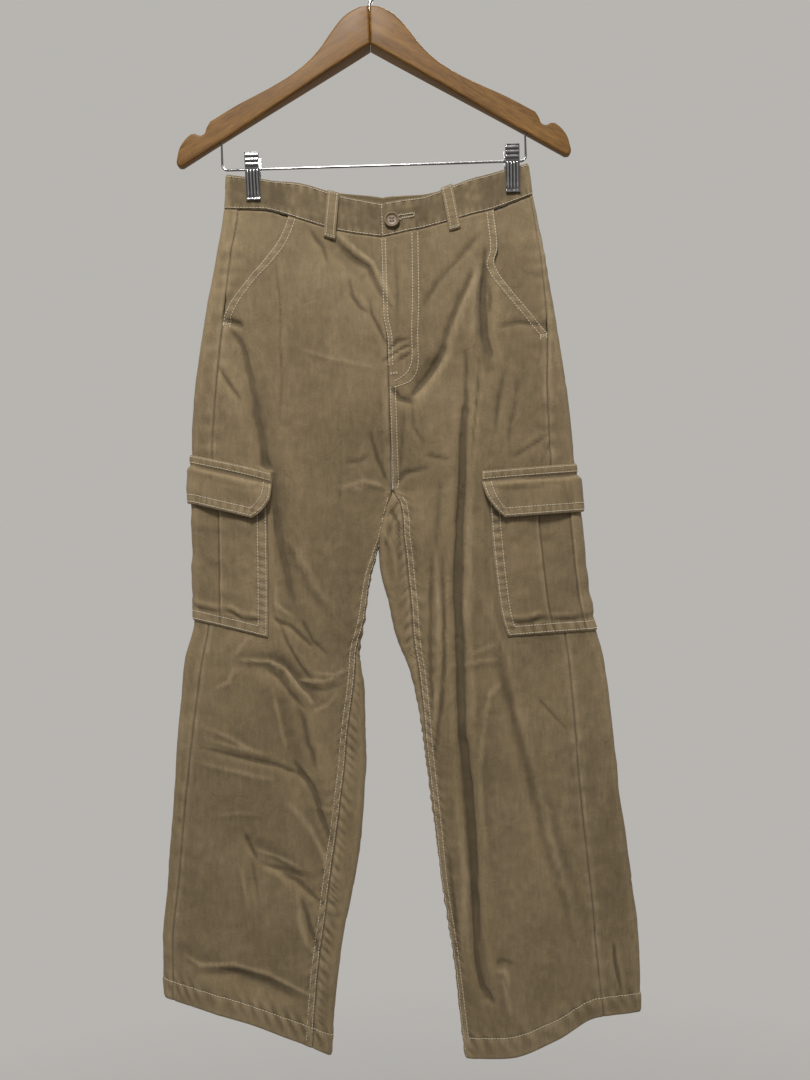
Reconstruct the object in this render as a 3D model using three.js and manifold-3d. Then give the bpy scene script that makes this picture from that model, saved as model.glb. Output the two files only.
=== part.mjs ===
// Wide-leg cargo pants hanging from a wooden clip hanger, in millimetres.
// +X is the viewer's right, -Y the viewer's side and +Z up; the origin is the inside top of the hook.
// Every cloth piece is a thin wall on one garment surface, which surfacePoint() works out from the
// tables below. Pieces that lie on a panel use the same surface, moved outwards.
import * as THREE from 'three';
import { mergeVertices } from 'three/addons/utils/BufferGeometryUtils.js';
import Module from 'manifold-3d';

const wasm = await Module();
wasm.setup();

// Driving sizes of the garment
const CLOTH = 1.8;
const BAND_CLOTH = 2.0;
const SEAM_GAP = 0.3;
const CENTRE_X = 9;
const WAIST_SEAM_Z = -323;
const BAND_HEIGHT = 40;
const CROTCH_Z = -605;
const CROTCH_CURVE = 26;
const CLOSING_HEIGHT = 130;
const FOLD_RADIUS = 7;
const BACK_RISE = 15;
const BACK_RISE_FADE = 190;
const BACK_RISE_END = 0.75;
const HEM_Z = { left: -1233, right: -1240 };

// Silhouette of each leg by height: outer edge, and how far in front of it the outseam runs
const OUTLINE = {
  left: [
    { z: -236, outer: -168, outseam: 14 },
    { z: -280, outer: -171, outseam: 16 },
    { z: -340, outer: -183, outseam: 18 },
    { z: -420, outer: -199, outseam: 22 },
    { z: -500, outer: -212.5, outseam: 25 },
    { z: -560, outer: -216.5, outseam: 24 },
    { z: -660, outer: -217.5, outseam: 21 },
    { z: -740, outer: -219.5, outseam: 18 },
    { z: -790, outer: -232, outseam: 21 },
    { z: -860, outer: -240, outseam: 18 },
    { z: -940, outer: -248.5, outseam: 15.5 },
    { z: -1020, outer: -256, outseam: 14 },
    { z: -1100, outer: -264, outseam: 12.5 },
    { z: -1200, outer: -264, outseam: 11 },
  ],
  right: [
    { z: -236, outer: 174, outseam: 3 },
    { z: -280, outer: 179, outseam: 3 },
    { z: -340, outer: 188.8, outseam: 5 },
    { z: -420, outer: 199.5, outseam: 11 },
    { z: -500, outer: 209.5, outseam: 23 },
    { z: -560, outer: 215, outseam: 27 },
    { z: -660, outer: 220, outseam: 32 },
    { z: -740, outer: 227, outseam: 34.5 },
    { z: -790, outer: 240, outseam: 40 },
    { z: -860, outer: 247.5, outseam: 43.5 },
    { z: -940, outer: 253.5, outseam: 46 },
    { z: -1020, outer: 261.5, outseam: 48 },
    { z: -1100, outer: 268.5, outseam: 50 },
    { z: -1200, outer: 270, outseam: 45 },
  ],
};

// Inner edge of each leg below the crotch, and how far from it the inseam runs on the front
const INSIDE = {
  left: [
    { z: -605, inner: 9, inseam: 0 },
    { z: -620, inner: 0, inseam: 0 },
    { z: -660, inner: -10.5, inseam: 0 },
    { z: -700, inner: -18.5, inseam: 1 },
    { z: -750, inner: -26.5, inseam: 1.5 },
    { z: -788, inner: -34, inseam: 3.5 },
    { z: -830, inner: -29, inseam: 13 },
    { z: -900, inner: -29.5, inseam: 22.5 },
    { z: -960, inner: -34.5, inseam: 26 },
    { z: -1020, inner: -42.5, inseam: 28 },
    { z: -1100, inner: -61, inseam: 22 },
    { z: -1160, inner: -71, inseam: 21 },
    { z: -1240, inner: -79, inseam: 20 },
  ],
  right: [
    { z: -605, inner: 9, inseam: 0 },
    { z: -620, inner: 3.5, inseam: 16 },
    { z: -655, inner: -6, inseam: 30 },
    { z: -690, inner: -7, inseam: 34 },
    { z: -730, inner: 0.5, inseam: 29.5 },
    { z: -770, inner: 8.5, inseam: 22 },
    { z: -810, inner: 23, inseam: 11 },
    { z: -850, inner: 31, inseam: 5 },
    { z: -900, inner: 36.5, inseam: 2.5 },
    { z: -980, inner: 44.5, inseam: 1.5 },
    { z: -1060, inner: 52.5, inseam: 0.5 },
    { z: -1140, inner: 62, inseam: 0.5 },
    { z: -1240, inner: 70, inseam: 1 },
  ],
};

// How far each row of cloth rises above its inner end, at each quarter of the way out
const SAG = {
  left: [
    { z: -283, q1: 10, q2: 25, q3: 35, q4: 42 },
    { z: -323, q1: 8, q2: 23, q3: 40, q4: 42 },
    { z: -600, q1: 8, q2: 20, q3: 36, q4: 50 },
    { z: -780, q1: 6, q2: 15, q3: 27, q4: 38 },
    { z: -1000, q1: 10, q2: 25, q3: 40, q4: 52 },
    { z: -1233, q1: 28, q2: 50, q3: 62, q4: 72 },
  ],
  right: [
    { z: -283, q1: 6, q2: 20, q3: 34, q4: 44 },
    { z: -323, q1: 9, q2: 20, q3: 33, q4: 48 },
    { z: -600, q1: 2, q2: 6, q3: 9, q4: 12 },
    { z: -780, q1: 1, q2: 3, q3: 5, q4: 6 },
    { z: -1000, q1: 2, q2: 10, q3: 22, q4: 26 },
    { z: -1240, q1: 6, q2: 27, q3: 48, q4: 46 },
  ],
};

// How far the front and back layers stand off the fold line between them, and how far that line leans back
const BULGE = [
  { z: -283, front: 5, back: 5, lean: 0 },
  { z: -340, front: 9, back: 10, lean: 0 },
  { z: -430, front: 15, back: 16, lean: -1 },
  { z: -560, front: 16, back: 19, lean: 2 },
  { z: -700, front: 14, back: 15, lean: 4 },
  { z: -900, front: 14, back: 12, lean: -1 },
  { z: -1060, front: 13, back: 12, lean: -3 },
  { z: -1240, front: 16, back: 13, lean: -8 },
];

// Slant pocket openings: distance of the cut edge in front of the silhouette
const SLANT = {
  left: [
    { z: -323, edge: 73 },
    { z: -356, edge: 66 },
    { z: -380, edge: 56 },
    { z: -404, edge: 41 },
    { z: -427, edge: 28 },
    { z: -452, edge: 19 },
  ],
  right: [
    { z: -323, edge: 45 },
    { z: -349, edge: 47 },
    { z: -366, edge: 50 },
    { z: -380, edge: 57 },
    { z: -392, edge: 54 },
    { z: -411, edge: 44 },
    { z: -435, edge: 29 },
    { z: -461, edge: 13 },
  ],
};
const SLANT_END_Z = { left: -452, right: -461 };
const FACING_UNDERLAP = 8;
const FACING_GAP = 0.9;
const FACING_CLOTH = 1.2;
const FACING_BELOW = 16;

// Largest folds: side is front or back, depth is inwards, negative for a ridge
const FOLDS = [
  { name: 'thigh crease', side: 'front', depth: 5, width: 9,
    path: [[120, -366], [116, -421], [121, -470]] },
  { name: 'long crease', side: 'front', depth: 9, width: 11,
    path: [[93, -520], [84, -640], [80, -750], [79, -876], [85, -1040], [95, -1167]] },
  { name: 'shin diagonal', side: 'front', depth: 4, width: 12,
    path: [[122, -797], [151, -914], [183, -1013], [196, -1073]] },
  { name: 'fly diagonal', side: 'front', depth: 5, width: 9, path: [[68, -456], [34, -499]] },
  { name: 'hip trough', side: 'front', depth: 6, width: 16,
    path: [[-168, -412], [-145, -480], [-127, -567], [-115, -650], [-109, -730], [-88, -770]] },
  { name: 'loop pull', side: 'front', depth: 4, width: 10, path: [[-43, -334], [-20, -364]] },
  { name: 'knee wrinkle', side: 'front', depth: 6, width: 11,
    path: [[-161, -789], [-122, -793], [-103, -811], [-84, -838]] },
  { name: 'shin trough', side: 'front', depth: 7, width: 15,
    path: [[-122, -840], [-89, -945], [-80, -1020]] },
  { name: 'calf wrinkle', side: 'front', depth: 4, width: 11,
    path: [[-158, -988], [-129, -1010], [-95, -1043]] },
  { name: 'hem wrinkle', side: 'front', depth: 4, width: 12, path: [[-237, -1112], [-98, -1161]] },
  { name: 'seat pull left', side: 'back', depth: 6, width: 14,
    path: [[2, -590], [-50, -545], [-95, -520]] },
  { name: 'seat pull right', side: 'back', depth: 5, width: 13,
    path: [[14, -585], [60, -550], [112, -535]] },
  { name: 'rear thigh left', side: 'back', depth: 7, width: 14,
    path: [[-95, -600], [-104, -740], [-120, -860], [-128, -990]] },
  { name: 'rear thigh right', side: 'back', depth: 8, width: 13,
    path: [[118, -590], [112, -730], [124, -880], [138, -1040], [150, -1150]] },
  { name: 'rear knee left', side: 'back', depth: 5, width: 11,
    path: [[-60, -800], [-110, -822], [-168, -812]] },
  { name: 'rear knee right', side: 'back', depth: 5, width: 12,
    path: [[66, -850], [120, -862], [190, -840]] },
];

// Clips pinch both layers of the waistband together
const CLIP_X = { left: -137, right: 155.5 };
const CLIP_TOP_Z = -220;
const CLIP_BOTTOM_Z = -272;
const CLIP_WIDTH = 16;
const PINCH_FLAT = 12;
const PINCH_REACH = 34;
const PINCH_DROP = 62;
const PINCH_HALF = BAND_CLOTH + 0.25;

// Fly, waistband lap and button
const LAP_LIFT = BAND_CLOTH + SEAM_GAP;
const LAP_FULL = 24;
const LAP_FADE = 46;
const LAP_OVER = 4;
const LAP_TOP_Z = -450;
const LAP_END_Z = -492;
const LAP_OVER_END_Z = -440;
const BAND_UNDERLAP = 20;
const SHIELD_HALF = { left: 18, right: 18 };
const SHIELD_CLOTH = 1.3;
const SHIELD_END_Z = -476;
const BUTTON = { x: 18, below: 3, radius: 8.5, thick: 2.6, hole: 0.9, spread: 1.7, seat: 0.8 };

// Half section of the button: share of its radius, and height over the cloth
const BUTTON_PROFILE = [
  [0, 0], [0.86, 0], [1, 1.2], [0.97, 3.1], [0.88, 3.5], [0.76, 3], [0.66, 2.1], [0, 1.8],
];

// Cargo pockets, centred near the outseam, with a box pleat and a flap under a sewn band
const POCKET_TOP_Z = { left: -606, right: -592 };
const POCKET_BOTTOM_Z = { left: -780, right: -774 };
const POCKET_CENTRE = { left: 14, right: 30 };
const POCKET_HALF_WIDTH = 72;
const POCKET_HEM = 10;
const POCKET_PUFF = 2;
const PLEAT_HALF_WIDTH = 19;
const PLEAT_DEPTH = 1.2;
const LAID_GAP = 0.6;
const FLAP_GAP = 1;
const EDGE_REACH = 22;
const MOUTH_BELOW_BAND = 20;
const FLAP_SHAPE = [
  { drop: 0, half: 77, stand: 0 },
  { drop: 9, half: 78, stand: 0 },
  { drop: 16, half: 77.5, stand: 4.4 },
  { drop: 27, half: 75, stand: 7.6 },
  { drop: 38, half: 69, stand: 8.6 },
  { drop: 45, half: 64, stand: 9.2 },
  { drop: 52, half: 57, stand: 9.6 },
];

const POCKET_PLACES = [
  -72, -66, -58, -48, -38, -28, -20.5, -17.5, -10, 0, 10, 17.5, 20.5, 28, 38, 48, 58, 66, 72,
];
const POCKET_ROWS = [0, 0.1, 0.2, 0.3, 0.4, 0.5, 0.6, 0.7, 0.8, 0.87, 0.93, 1];
const FLAP_PLACES = [-1, -0.92, -0.8, -0.65, -0.45, -0.25, 0, 0.25, 0.45, 0.65, 0.8, 0.92, 1];

// Belt loops: x on the front or on the back, at the waist
const LOOP = { width: 13, thick: 1.8, above: 1.5, below: 11, bow: 2.2 };
const LOOPS = [
  { name: 'belt_loop_front_left', half: 'left', side: 1, topX: -46, bottomX: -52 },
  { name: 'belt_loop_front_right', half: 'right', side: 1, topX: 80, bottomX: 88 },
  { name: 'belt_loop_back_left', half: 'left', side: -1, topX: -92, bottomX: -94 },
  { name: 'belt_loop_back_right', half: 'right', side: -1, topX: 112, bottomX: 114 },
  { name: 'belt_loop_centre_back', half: 'right', side: -1, topX: 17, bottomX: 17 },
];

// Mesh spacing of the panels
const ROW_STEP = 33;
const CROTCH_ROWS = [-560, -574, -585, -594, -601, -605, -611, -622, -640, -662, -690, -718];
const PANEL_COLUMNS = { front: 13, back: 18 };

// Hanger
const ARM_DEPTH = { neck: 22, tip: 11 };
const ARM_BEVEL = 1.6;
const ARM_SPAN = 222;
const ARM_TOP_Z = -60;
const ARM_UNDER = { neckZ: -103, tipX: 216, tipZ: -231.5 };
const ARM_EDGES = {
  shoulder: [
    [SEAM_GAP / 2, ARM_TOP_Z], [14, -62.5], [30, -72.5], [44, -89], [56, -105], [70, -119.5], [90, -134],
    [116, -148], [152, -165], [183, -182.5],
  ],
  notch: [[187, -189], [189.5, -195.5], [194.5, -197.8], [200, -195.5]],
  tip: [[205, -196], [212, -202], [218.5, -212], [ARM_SPAN, -226]],
};
const HOOK = { wire: 2, radius: 21, stem: 22 };
const HOOK_NECK = [[0, -62], [0.4, -54], [3.5, -48], [9.5, -42]];
const HOOK_TURN = { from: -45, to: 200, steps: 16 };
const BAR = { wire: 1.3, half: 171.5, z: -236, bend: 6, socket: 9 };
const SOCKET_CLEAR = 0.3;
const DRILL_LENGTH = 60;

// Clip jaws: inside profile from the top, sheet thickness, cross ridges and bottom lip
const JAW_GRIP = PINCH_HALF + SEAM_GAP;
const JAW_INSIDE = [
  [8.6, CLIP_TOP_Z], [7.6, -226], [6.6, -232], [5.9, -238], [5.2, -246], [JAW_GRIP + 0.9, -256],
  [JAW_GRIP, -262], [JAW_GRIP, CLIP_BOTTOM_Z],
];
const JAW = { sheet: 1.2, ridge: 0.7, ridges: 3, lip: 2.4, lipHeight: 2.2 };
const SPRING = { radius: 5, inset: 1 };

// Materials
const COLOURS = { cloth: 0x85735a, wood: 0xa06b3a, metal: 0xb9bcc0, button: 0x6f5a41 };
function material(colour, roughness, metalness) {
  return new THREE.MeshStandardMaterial({ color: colour, roughness, metalness });
}
const MATERIALS = {
  cloth: () => material(COLOURS.cloth, 0.9, 0),
  wood: () => material(COLOURS.wood, 0.45, 0),
  metal: () => material(COLOURS.metal, 0.25, 1),
  button: () => material(COLOURS.button, 0.5, 0),
};

const pants = new THREE.Group();
function addPiece(name, geometry, finish) {
  const mesh = new THREE.Mesh(geometry, MATERIALS[finish]());
  mesh.name = name;
  pants.add(mesh);
  return mesh;
}

const mix = (a, b, t) => a + (b - a) * t;
const clamp = (value, low, high) => Math.min(Math.max(value, low), high);
function smoothStep(low, high, value) {
  const t = clamp((value - low) / (high - low), 0, 1);
  return t * t * (3 - 2 * t);
}

// Smooth interpolation through points that keeps between neighbours
function curveThrough(xs, ys, x) {
  const last = xs.length - 1;
  if (x <= xs[0]) return ys[0];
  if (x >= xs[last]) return ys[last];
  let i = 0;
  while (x > xs[i + 1]) i += 1;
  const slope = (k) => (ys[k + 1] - ys[k]) / (xs[k + 1] - xs[k]);
  const tangent = (k) => {
    if (k === 0) return slope(0);
    if (k === last) return slope(last - 1);
    const before = slope(k - 1);
    const after = slope(k);
    return before * after <= 0 ? 0 : (2 * before * after) / (before + after);
  };
  const step = xs[i + 1] - xs[i];
  const t = (x - xs[i]) / step;
  const h = t * t * (3 - 2 * t);
  const rise = t * (1 - t) * (1 - t) * step * tangent(i);
  const fall = t * t * (1 - t) * step * tangent(i + 1);
  return mix(ys[i], ys[i + 1], h) + rise - fall;
}

// Value of one column of a table whose rows go down from the top
function column(table, name, z) {
  return curveThrough(table.map((row) => -row.z), table.map((row) => row[name]), -z);
}

// Cross-section of one half of the garment along the row of cloth that starts at rowZ
function sectionAt(half, rowZ) {
  const sag = ['q1', 'q2', 'q3', 'q4'].map((name) => column(SAG[half], name, rowZ));
  const outerZ = rowZ + sag[3];
  const outer = column(OUTLINE[half], 'outer', outerZ);
  const inLeg = rowZ < CROTCH_Z;
  const inner = inLeg ? column(INSIDE[half], 'inner', rowZ) : CENTRE_X;
  const closing = 0.5 * smoothStep(0, CLOSING_HEIGHT, rowZ - CROTCH_Z);
  const curve = clamp((CROTCH_Z + CROTCH_CURVE - rowZ) / CROTCH_CURVE, 0, 1);
  const startAngle = inLeg ? 0 : Math.acos(curve);
  const width = Math.abs(outer - inner);
  const section = {
    half, rowZ, sag, outer, inner, inLeg, width,
    direction: Math.sign(outer - inner),
    inseam: inLeg ? column(INSIDE[half], 'inseam', rowZ) : 0,
    outseam: column(OUTLINE[half], 'outseam', outerZ),
    lean: column(BULGE, 'lean', rowZ),
  };
  for (const side of ['front', 'back']) {
    const bulge = column(BULGE, side, rowZ);
    const span = Math.PI * (1 - closing);
    const outerAngle = Math.PI / 2 - Math.atan((bulge * span) / width);
    const innerLimit = Math.PI / 2 - Math.atan((bulge * span * Math.cos(Math.PI * closing)) / width);
    const innerAngle = Math.max(startAngle, innerLimit);
    const outerReach = FOLD_RADIUS * (1 - Math.cos(outerAngle));
    const innerReach = FOLD_RADIUS * (Math.cos(startAngle) - Math.cos(innerAngle));
    const outerArc = FOLD_RADIUS * outerAngle;
    const innerArc = FOLD_RADIUS * (innerAngle - startAngle);
    const face = width - outerReach - innerReach;
    section[side] = {
      bulge, closing, startAngle, outerAngle, innerAngle, outerReach, innerReach, outerArc, face,
      length: outerArc + face + innerArc,
    };
  }
  return section;
}

// Distance along the surface at a given distance in x from the silhouette
function alongFromOuter(section, distance) {
  const { outerReach, outerArc } = section.front;
  if (distance < outerReach) return FOLD_RADIUS * Math.acos(1 - distance / FOLD_RADIUS);
  return outerArc + distance - outerReach;
}
function alongFromInner(section, distance) {
  const { innerReach, innerAngle, length } = section.front;
  if (distance < innerReach) return length - FOLD_RADIUS * Math.acos(1 - distance / FOLD_RADIUS);
  return length - FOLD_RADIUS * innerAngle - (distance - innerReach);
}

// Depth of the folds at one place on the front or back
function foldDepth(side, x, z) {
  let depth = 0;
  for (const fold of FOLDS) {
    if (fold.side !== side) continue;
    const last = fold.path.length - 1;
    let nearest = Infinity;
    let along = 0;
    for (let i = 0; i < last; i += 1) {
      const [ax, az] = fold.path[i];
      const [bx, bz] = fold.path[i + 1];
      const lengthSq = (bx - ax) ** 2 + (bz - az) ** 2;
      const t = clamp(((x - ax) * (bx - ax) + (z - az) * (bz - az)) / lengthSq, 0, 1);
      const distance = Math.hypot(x - mix(ax, bx, t), z - mix(az, bz, t));
      if (distance < nearest) {
        nearest = distance;
        along = (i + t) / last;
      }
    }
    const ends = Math.sqrt(Math.max(Math.sin(Math.PI * mix(0.06, 0.94, along)), 0));
    depth += fold.depth * ends * Math.exp(-((nearest / fold.width) ** 2));
  }
  return depth;
}

// How firmly the clips press the layers together at one place
function pinchAt(x, z) {
  let pinch = 0;
  for (const clipX of Object.values(CLIP_X)) {
    const across = smoothStep(PINCH_REACH, 0, Math.abs(x - clipX) - CLIP_WIDTH / 2 - PINCH_FLAT);
    const down = smoothStep(PINCH_DROP, 0, CLIP_BOTTOM_Z - z);
    pinch = Math.max(pinch, across * down);
  }
  return pinch;
}

// Point of the garment surface: along is 0 on the silhouette, positive on the front, negative on the back
function surfacePoint(section, along) {
  const { front, back, direction, inner, outer, width } = section;
  let a = along;
  if (section.inLeg && a > front.length) a -= front.length + back.length;
  if (section.inLeg && a < -back.length) a += front.length + back.length;
  const side = a >= 0 ? front : back;
  const sign = a >= 0 ? -1 : 1;
  const arc = Math.abs(a);
  let fromInner;
  let depth;
  if (arc < side.outerArc) {
    fromInner = width - FOLD_RADIUS * (1 - Math.cos(arc / FOLD_RADIUS));
    depth = FOLD_RADIUS * Math.sin(arc / FOLD_RADIUS);
  } else if (arc < side.outerArc + side.face) {
    const t = 1 - (arc - side.outerArc) / side.face;
    fromInner = side.innerReach + t * side.face;
    const swell = side.bulge * Math.sin(Math.PI * mix(side.closing, 1, t));
    depth = FOLD_RADIUS * mix(Math.sin(side.innerAngle), Math.sin(side.outerAngle), t) + swell;
  } else {
    const turned = (arc - side.outerArc - side.face) / FOLD_RADIUS;
    const angle = Math.max(side.innerAngle - turned, side.startAngle);
    const beyond = Math.max(arc - side.length, 0);
    fromInner = FOLD_RADIUS * (Math.cos(side.startAngle) - Math.cos(angle)) - beyond;
    depth = FOLD_RADIUS * Math.sin(angle) + side.bulge * Math.sin(Math.PI * side.closing);
  }
  const x = inner + direction * fromInner;
  const z0 = section.rowZ + curveThrough([0, 0.25, 0.5, 0.75, 1], [0, ...section.sag], fromInner / width);
  const backRise = sign > 0 ? smoothStep(0, 14, depth) : 0;
  const fade = smoothStep(BACK_RISE_FADE, 0, WAIST_SEAM_Z - section.rowZ);
  const slack = smoothStep(BACK_RISE_END, 0, fromInner / width);
  const z = z0 + BACK_RISE * backRise * fade * slack;
  const inwards = foldDepth(sign < 0 ? 'front' : 'back', x, z) * smoothStep(0, FOLD_RADIUS, depth);
  const pinch = pinchAt(x, z);
  const loose = Math.max(depth - inwards, PINCH_HALF * smoothStep(0, FOLD_RADIUS, depth));
  const edge = clamp((outer - x) * direction / 4, 0, 1);
  const offLine = sign * mix(loose, PINCH_HALF * Math.sqrt(edge), pinch);
  return new THREE.Vector3(x, section.lean + offLine, z);
}

const DOWN = new THREE.Vector3(0, 0, -1);

// Outward unit normal of the surface, from its neighbours
function surfaceNormal(section, along) {
  const reach = 1.2;
  const above = sectionAt(section.half, section.rowZ + reach);
  const below = sectionAt(section.half, section.rowZ - reach);
  const fit = (other) => {
    if (along >= 0) return along * (other.front.length / section.front.length);
    return along * (other.back.length / section.back.length);
  };
  const upper = above.inLeg === section.inLeg ? above : section;
  const lower = below.inLeg === section.inLeg ? below : section;
  const up = surfacePoint(upper, fit(upper));
  const down = surfacePoint(lower, fit(lower));
  const forward = surfacePoint(section, along + reach);
  const backward = surfacePoint(section, along - reach);
  const normal = forward.sub(backward).cross(up.sub(down)).normalize().multiplyScalar(-section.direction);
  const side = along >= 0 ? section.front : section.back;
  const atRow = smoothStep(5, 0, Math.abs(section.rowZ - CROTCH_Z));
  const atFold = smoothStep(9, 0, side.length - Math.abs(along));
  return normal.lerp(DOWN, atRow * atFold).normalize();
}

function liftedPoint(section, along, lift) {
  return surfacePoint(section, along).addScaledVector(surfaceNormal(section, along), lift);
}

// Closed wall between two grids of points, rows by columns
function wall(outerGrid, innerGrid) {
  const rows = outerGrid.length;
  const columns = outerGrid[0].length;
  const points = [...outerGrid.flat(), ...innerGrid.flat()];
  const inner = rows * columns;
  const triangles = [];
  const quad = (a, b, c, d) => triangles.push(a, b, c, a, c, d);
  for (let i = 0; i < rows - 1; i += 1) {
    for (let j = 0; j < columns - 1; j += 1) {
      const at = i * columns + j;
      quad(at, at + columns, at + columns + 1, at + 1);
      quad(inner + at, inner + at + 1, inner + at + columns + 1, inner + at + columns);
    }
  }
  for (let i = 0; i < rows - 1; i += 1) {
    const first = i * columns;
    const last = first + columns - 1;
    quad(first, inner + first, inner + first + columns, first + columns);
    quad(last, last + columns, inner + last + columns, inner + last);
  }
  for (let j = 0; j < columns - 1; j += 1) {
    const bottom = (rows - 1) * columns + j;
    quad(j, j + 1, inner + j + 1, inner + j);
    quad(bottom, inner + bottom, inner + bottom + 1, bottom + 1);
  }
  return closedGeometry(points, triangles);
}

// Geometry whose faces point outwards, whichever way its grid runs
function closedGeometry(points, triangles) {
  let volume = 0;
  for (let i = 0; i < triangles.length; i += 3) {
    const [a, b, c] = [points[triangles[i]], points[triangles[i + 1]], points[triangles[i + 2]]];
    volume += a.dot(new THREE.Vector3().crossVectors(b, c));
  }
  if (volume < 0) {
    for (let i = 0; i < triangles.length; i += 3) {
      [triangles[i + 1], triangles[i + 2]] = [triangles[i + 2], triangles[i + 1]];
    }
  }
  const geometry = new THREE.BufferGeometry().setFromPoints(points);
  geometry.setIndex(triangles);
  geometry.computeVertexNormals();
  return geometry;
}

// Columns between two places on a row, closer together round the folds at the garment's edges
function stations(section, from, to, count) {
  const folds = section.inLeg ? [0, section.front.length, -section.back.length] : [0];
  const samples = 90;
  const crowding = 2.2;
  const spread = 11;
  const total = [0];
  for (let i = 0; i < samples; i += 1) {
    const at = mix(from, to, (i + 0.5) / samples);
    let near = 0;
    for (const fold of folds) near += Math.exp(-(((at - fold) / spread) ** 2));
    total.push(total[i] + 1 + crowding * near);
  }
  return Array.from({ length: count + 1 }, (_, k) => {
    const wanted = (total[samples] * k) / count;
    let i = 0;
    while (i < samples - 1 && total[i + 1] < wanted) i += 1;
    return mix(from, to, (i + (wanted - total[i]) / (total[i + 1] - total[i])) / samples);
  });
}

// Rows of a panel: the crotch's own rows, and even steps above and below them
function panelRows(topZ, bottomZ) {
  const evenly = (from, to) => {
    const count = Math.round((from - to) / ROW_STEP);
    return Array.from({ length: count }, (_, i) => mix(from, to, i / count));
  };
  const last = CROTCH_ROWS[CROTCH_ROWS.length - 1];
  return [...evenly(topZ, CROTCH_ROWS[0]), ...CROTCH_ROWS.slice(0, -1), ...evenly(last, bottomZ), bottomZ];
}

function outseamAlong(section) {
  return alongFromOuter(section, section.outseam);
}
function slantAlong(section) {
  const { half, rowZ } = section;
  if (rowZ < SLANT_END_Z[half]) return outseamAlong(section);
  return Math.max(alongFromOuter(section, column(SLANT[half], 'edge', rowZ)), outseamAlong(section));
}
function inseamAlong(section) {
  return section.inLeg ? alongFromInner(section, section.inseam) : section.front.length;
}

// The right front laps over the left one at the fly and waistband
function lapFade(rowZ) {
  return smoothStep(LAP_END_Z, LAP_TOP_Z, rowZ);
}
function lapOver(section) {
  if (section.half === 'left') return 0;
  return LAP_OVER * smoothStep(LAP_OVER_END_Z, LAP_OVER_END_Z + 30, section.rowZ);
}
function lapLift(section, along) {
  if (section.half === 'left' || along < 0) return 0;
  const fromCentre = section.front.length - along;
  return LAP_LIFT * smoothStep(LAP_FADE, LAP_FULL, fromCentre) * lapFade(section.rowZ);
}

function panelWall(sections, edges, count, outerLift, thickness) {
  const grids = [0, thickness].map((depth) => sections.map((section) => {
    const [from, to] = edges(section);
    return stations(section, from, to, count).map((along) => (
      liftedPoint(section, along, outerLift(section, along) - depth)
    ));
  }));
  return wall(grids[0], grids[1]);
}

const HALVES = ['left', 'right'];
const HALF_GAP = SEAM_GAP / 2;

function buildPanels() {
  for (const half of HALVES) {
    const rows = panelRows(WAIST_SEAM_Z, HEM_Z[half]);
    const sections = rows.map((rowZ) => sectionAt(half, rowZ));
    const frontEdges = (section) => [
      slantAlong(section) + HALF_GAP, inseamAlong(section) + lapOver(section) - HALF_GAP,
    ];
    const backEdges = (section) => {
      const wrap = section.inLeg ? section.front.length - inseamAlong(section) : 0;
      return [outseamAlong(section) - HALF_GAP, HALF_GAP - section.back.length - wrap];
    };
    const front = panelWall(sections, frontEdges, PANEL_COLUMNS.front, lapLift, CLOTH);
    const back = panelWall(sections, backEdges, PANEL_COLUMNS.back, () => 0, CLOTH);
    addPiece(`front_${half}`, front, 'cloth');
    addPiece(`back_${half}`, back, 'cloth');
  }
}

// Facing that shows between each slanted opening and the outseam
function buildPocketFacings() {
  for (const half of HALVES) {
    const endZ = SLANT_END_Z[half] - FACING_BELOW;
    const rows = Array.from({ length: 9 }, (_, i) => mix(WAIST_SEAM_Z - 1, endZ, i / 8));
    const sections = rows.map((rowZ) => sectionAt(half, rowZ));
    const below = CLOTH + FACING_GAP;
    const edges = (section) => [
      outseamAlong(section) + HALF_GAP, slantAlong(section) + FACING_UNDERLAP,
    ];
    const lift = (section, along) => {
      const open = slantAlong(section) - outseamAlong(section);
      const seated = smoothStep(0, 1, (along - outseamAlong(section)) / Math.max(open - 4, 4));
      return -below * mix(1 - smoothStep(6, 14, open), 1, seated);
    };
    addPiece(`pocket_facing_${half}`, panelWall(sections, edges, 8, lift, FACING_CLOTH), 'cloth');
  }
}

// Shield behind the fly, between the two fronts
function buildFlyShield() {
  const rows = Array.from({ length: 7 }, (_, i) => mix(WAIST_SEAM_Z - 1, SHIELD_END_Z, i / 6));
  const below = CLOTH + FACING_GAP;
  const grids = [below, below + SHIELD_CLOTH].map((depth) => rows.map((rowZ) => {
    const left = sectionAt('left', rowZ);
    const right = sectionAt('right', rowZ);
    const leftPart = [1, 0.5, 0].map((t) => (
      liftedPoint(left, left.front.length - 1 - t * SHIELD_HALF.left, -depth)
    ));
    const rightPart = [0, 0.5, 1].map((t) => (
      liftedPoint(right, right.front.length - 1 - t * SHIELD_HALF.right, -depth)
    ));
    return [...leftPart, ...rightPart];
  }));
  addPiece('fly_shield', wall(grids[0], grids[1]), 'cloth');
}

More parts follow.
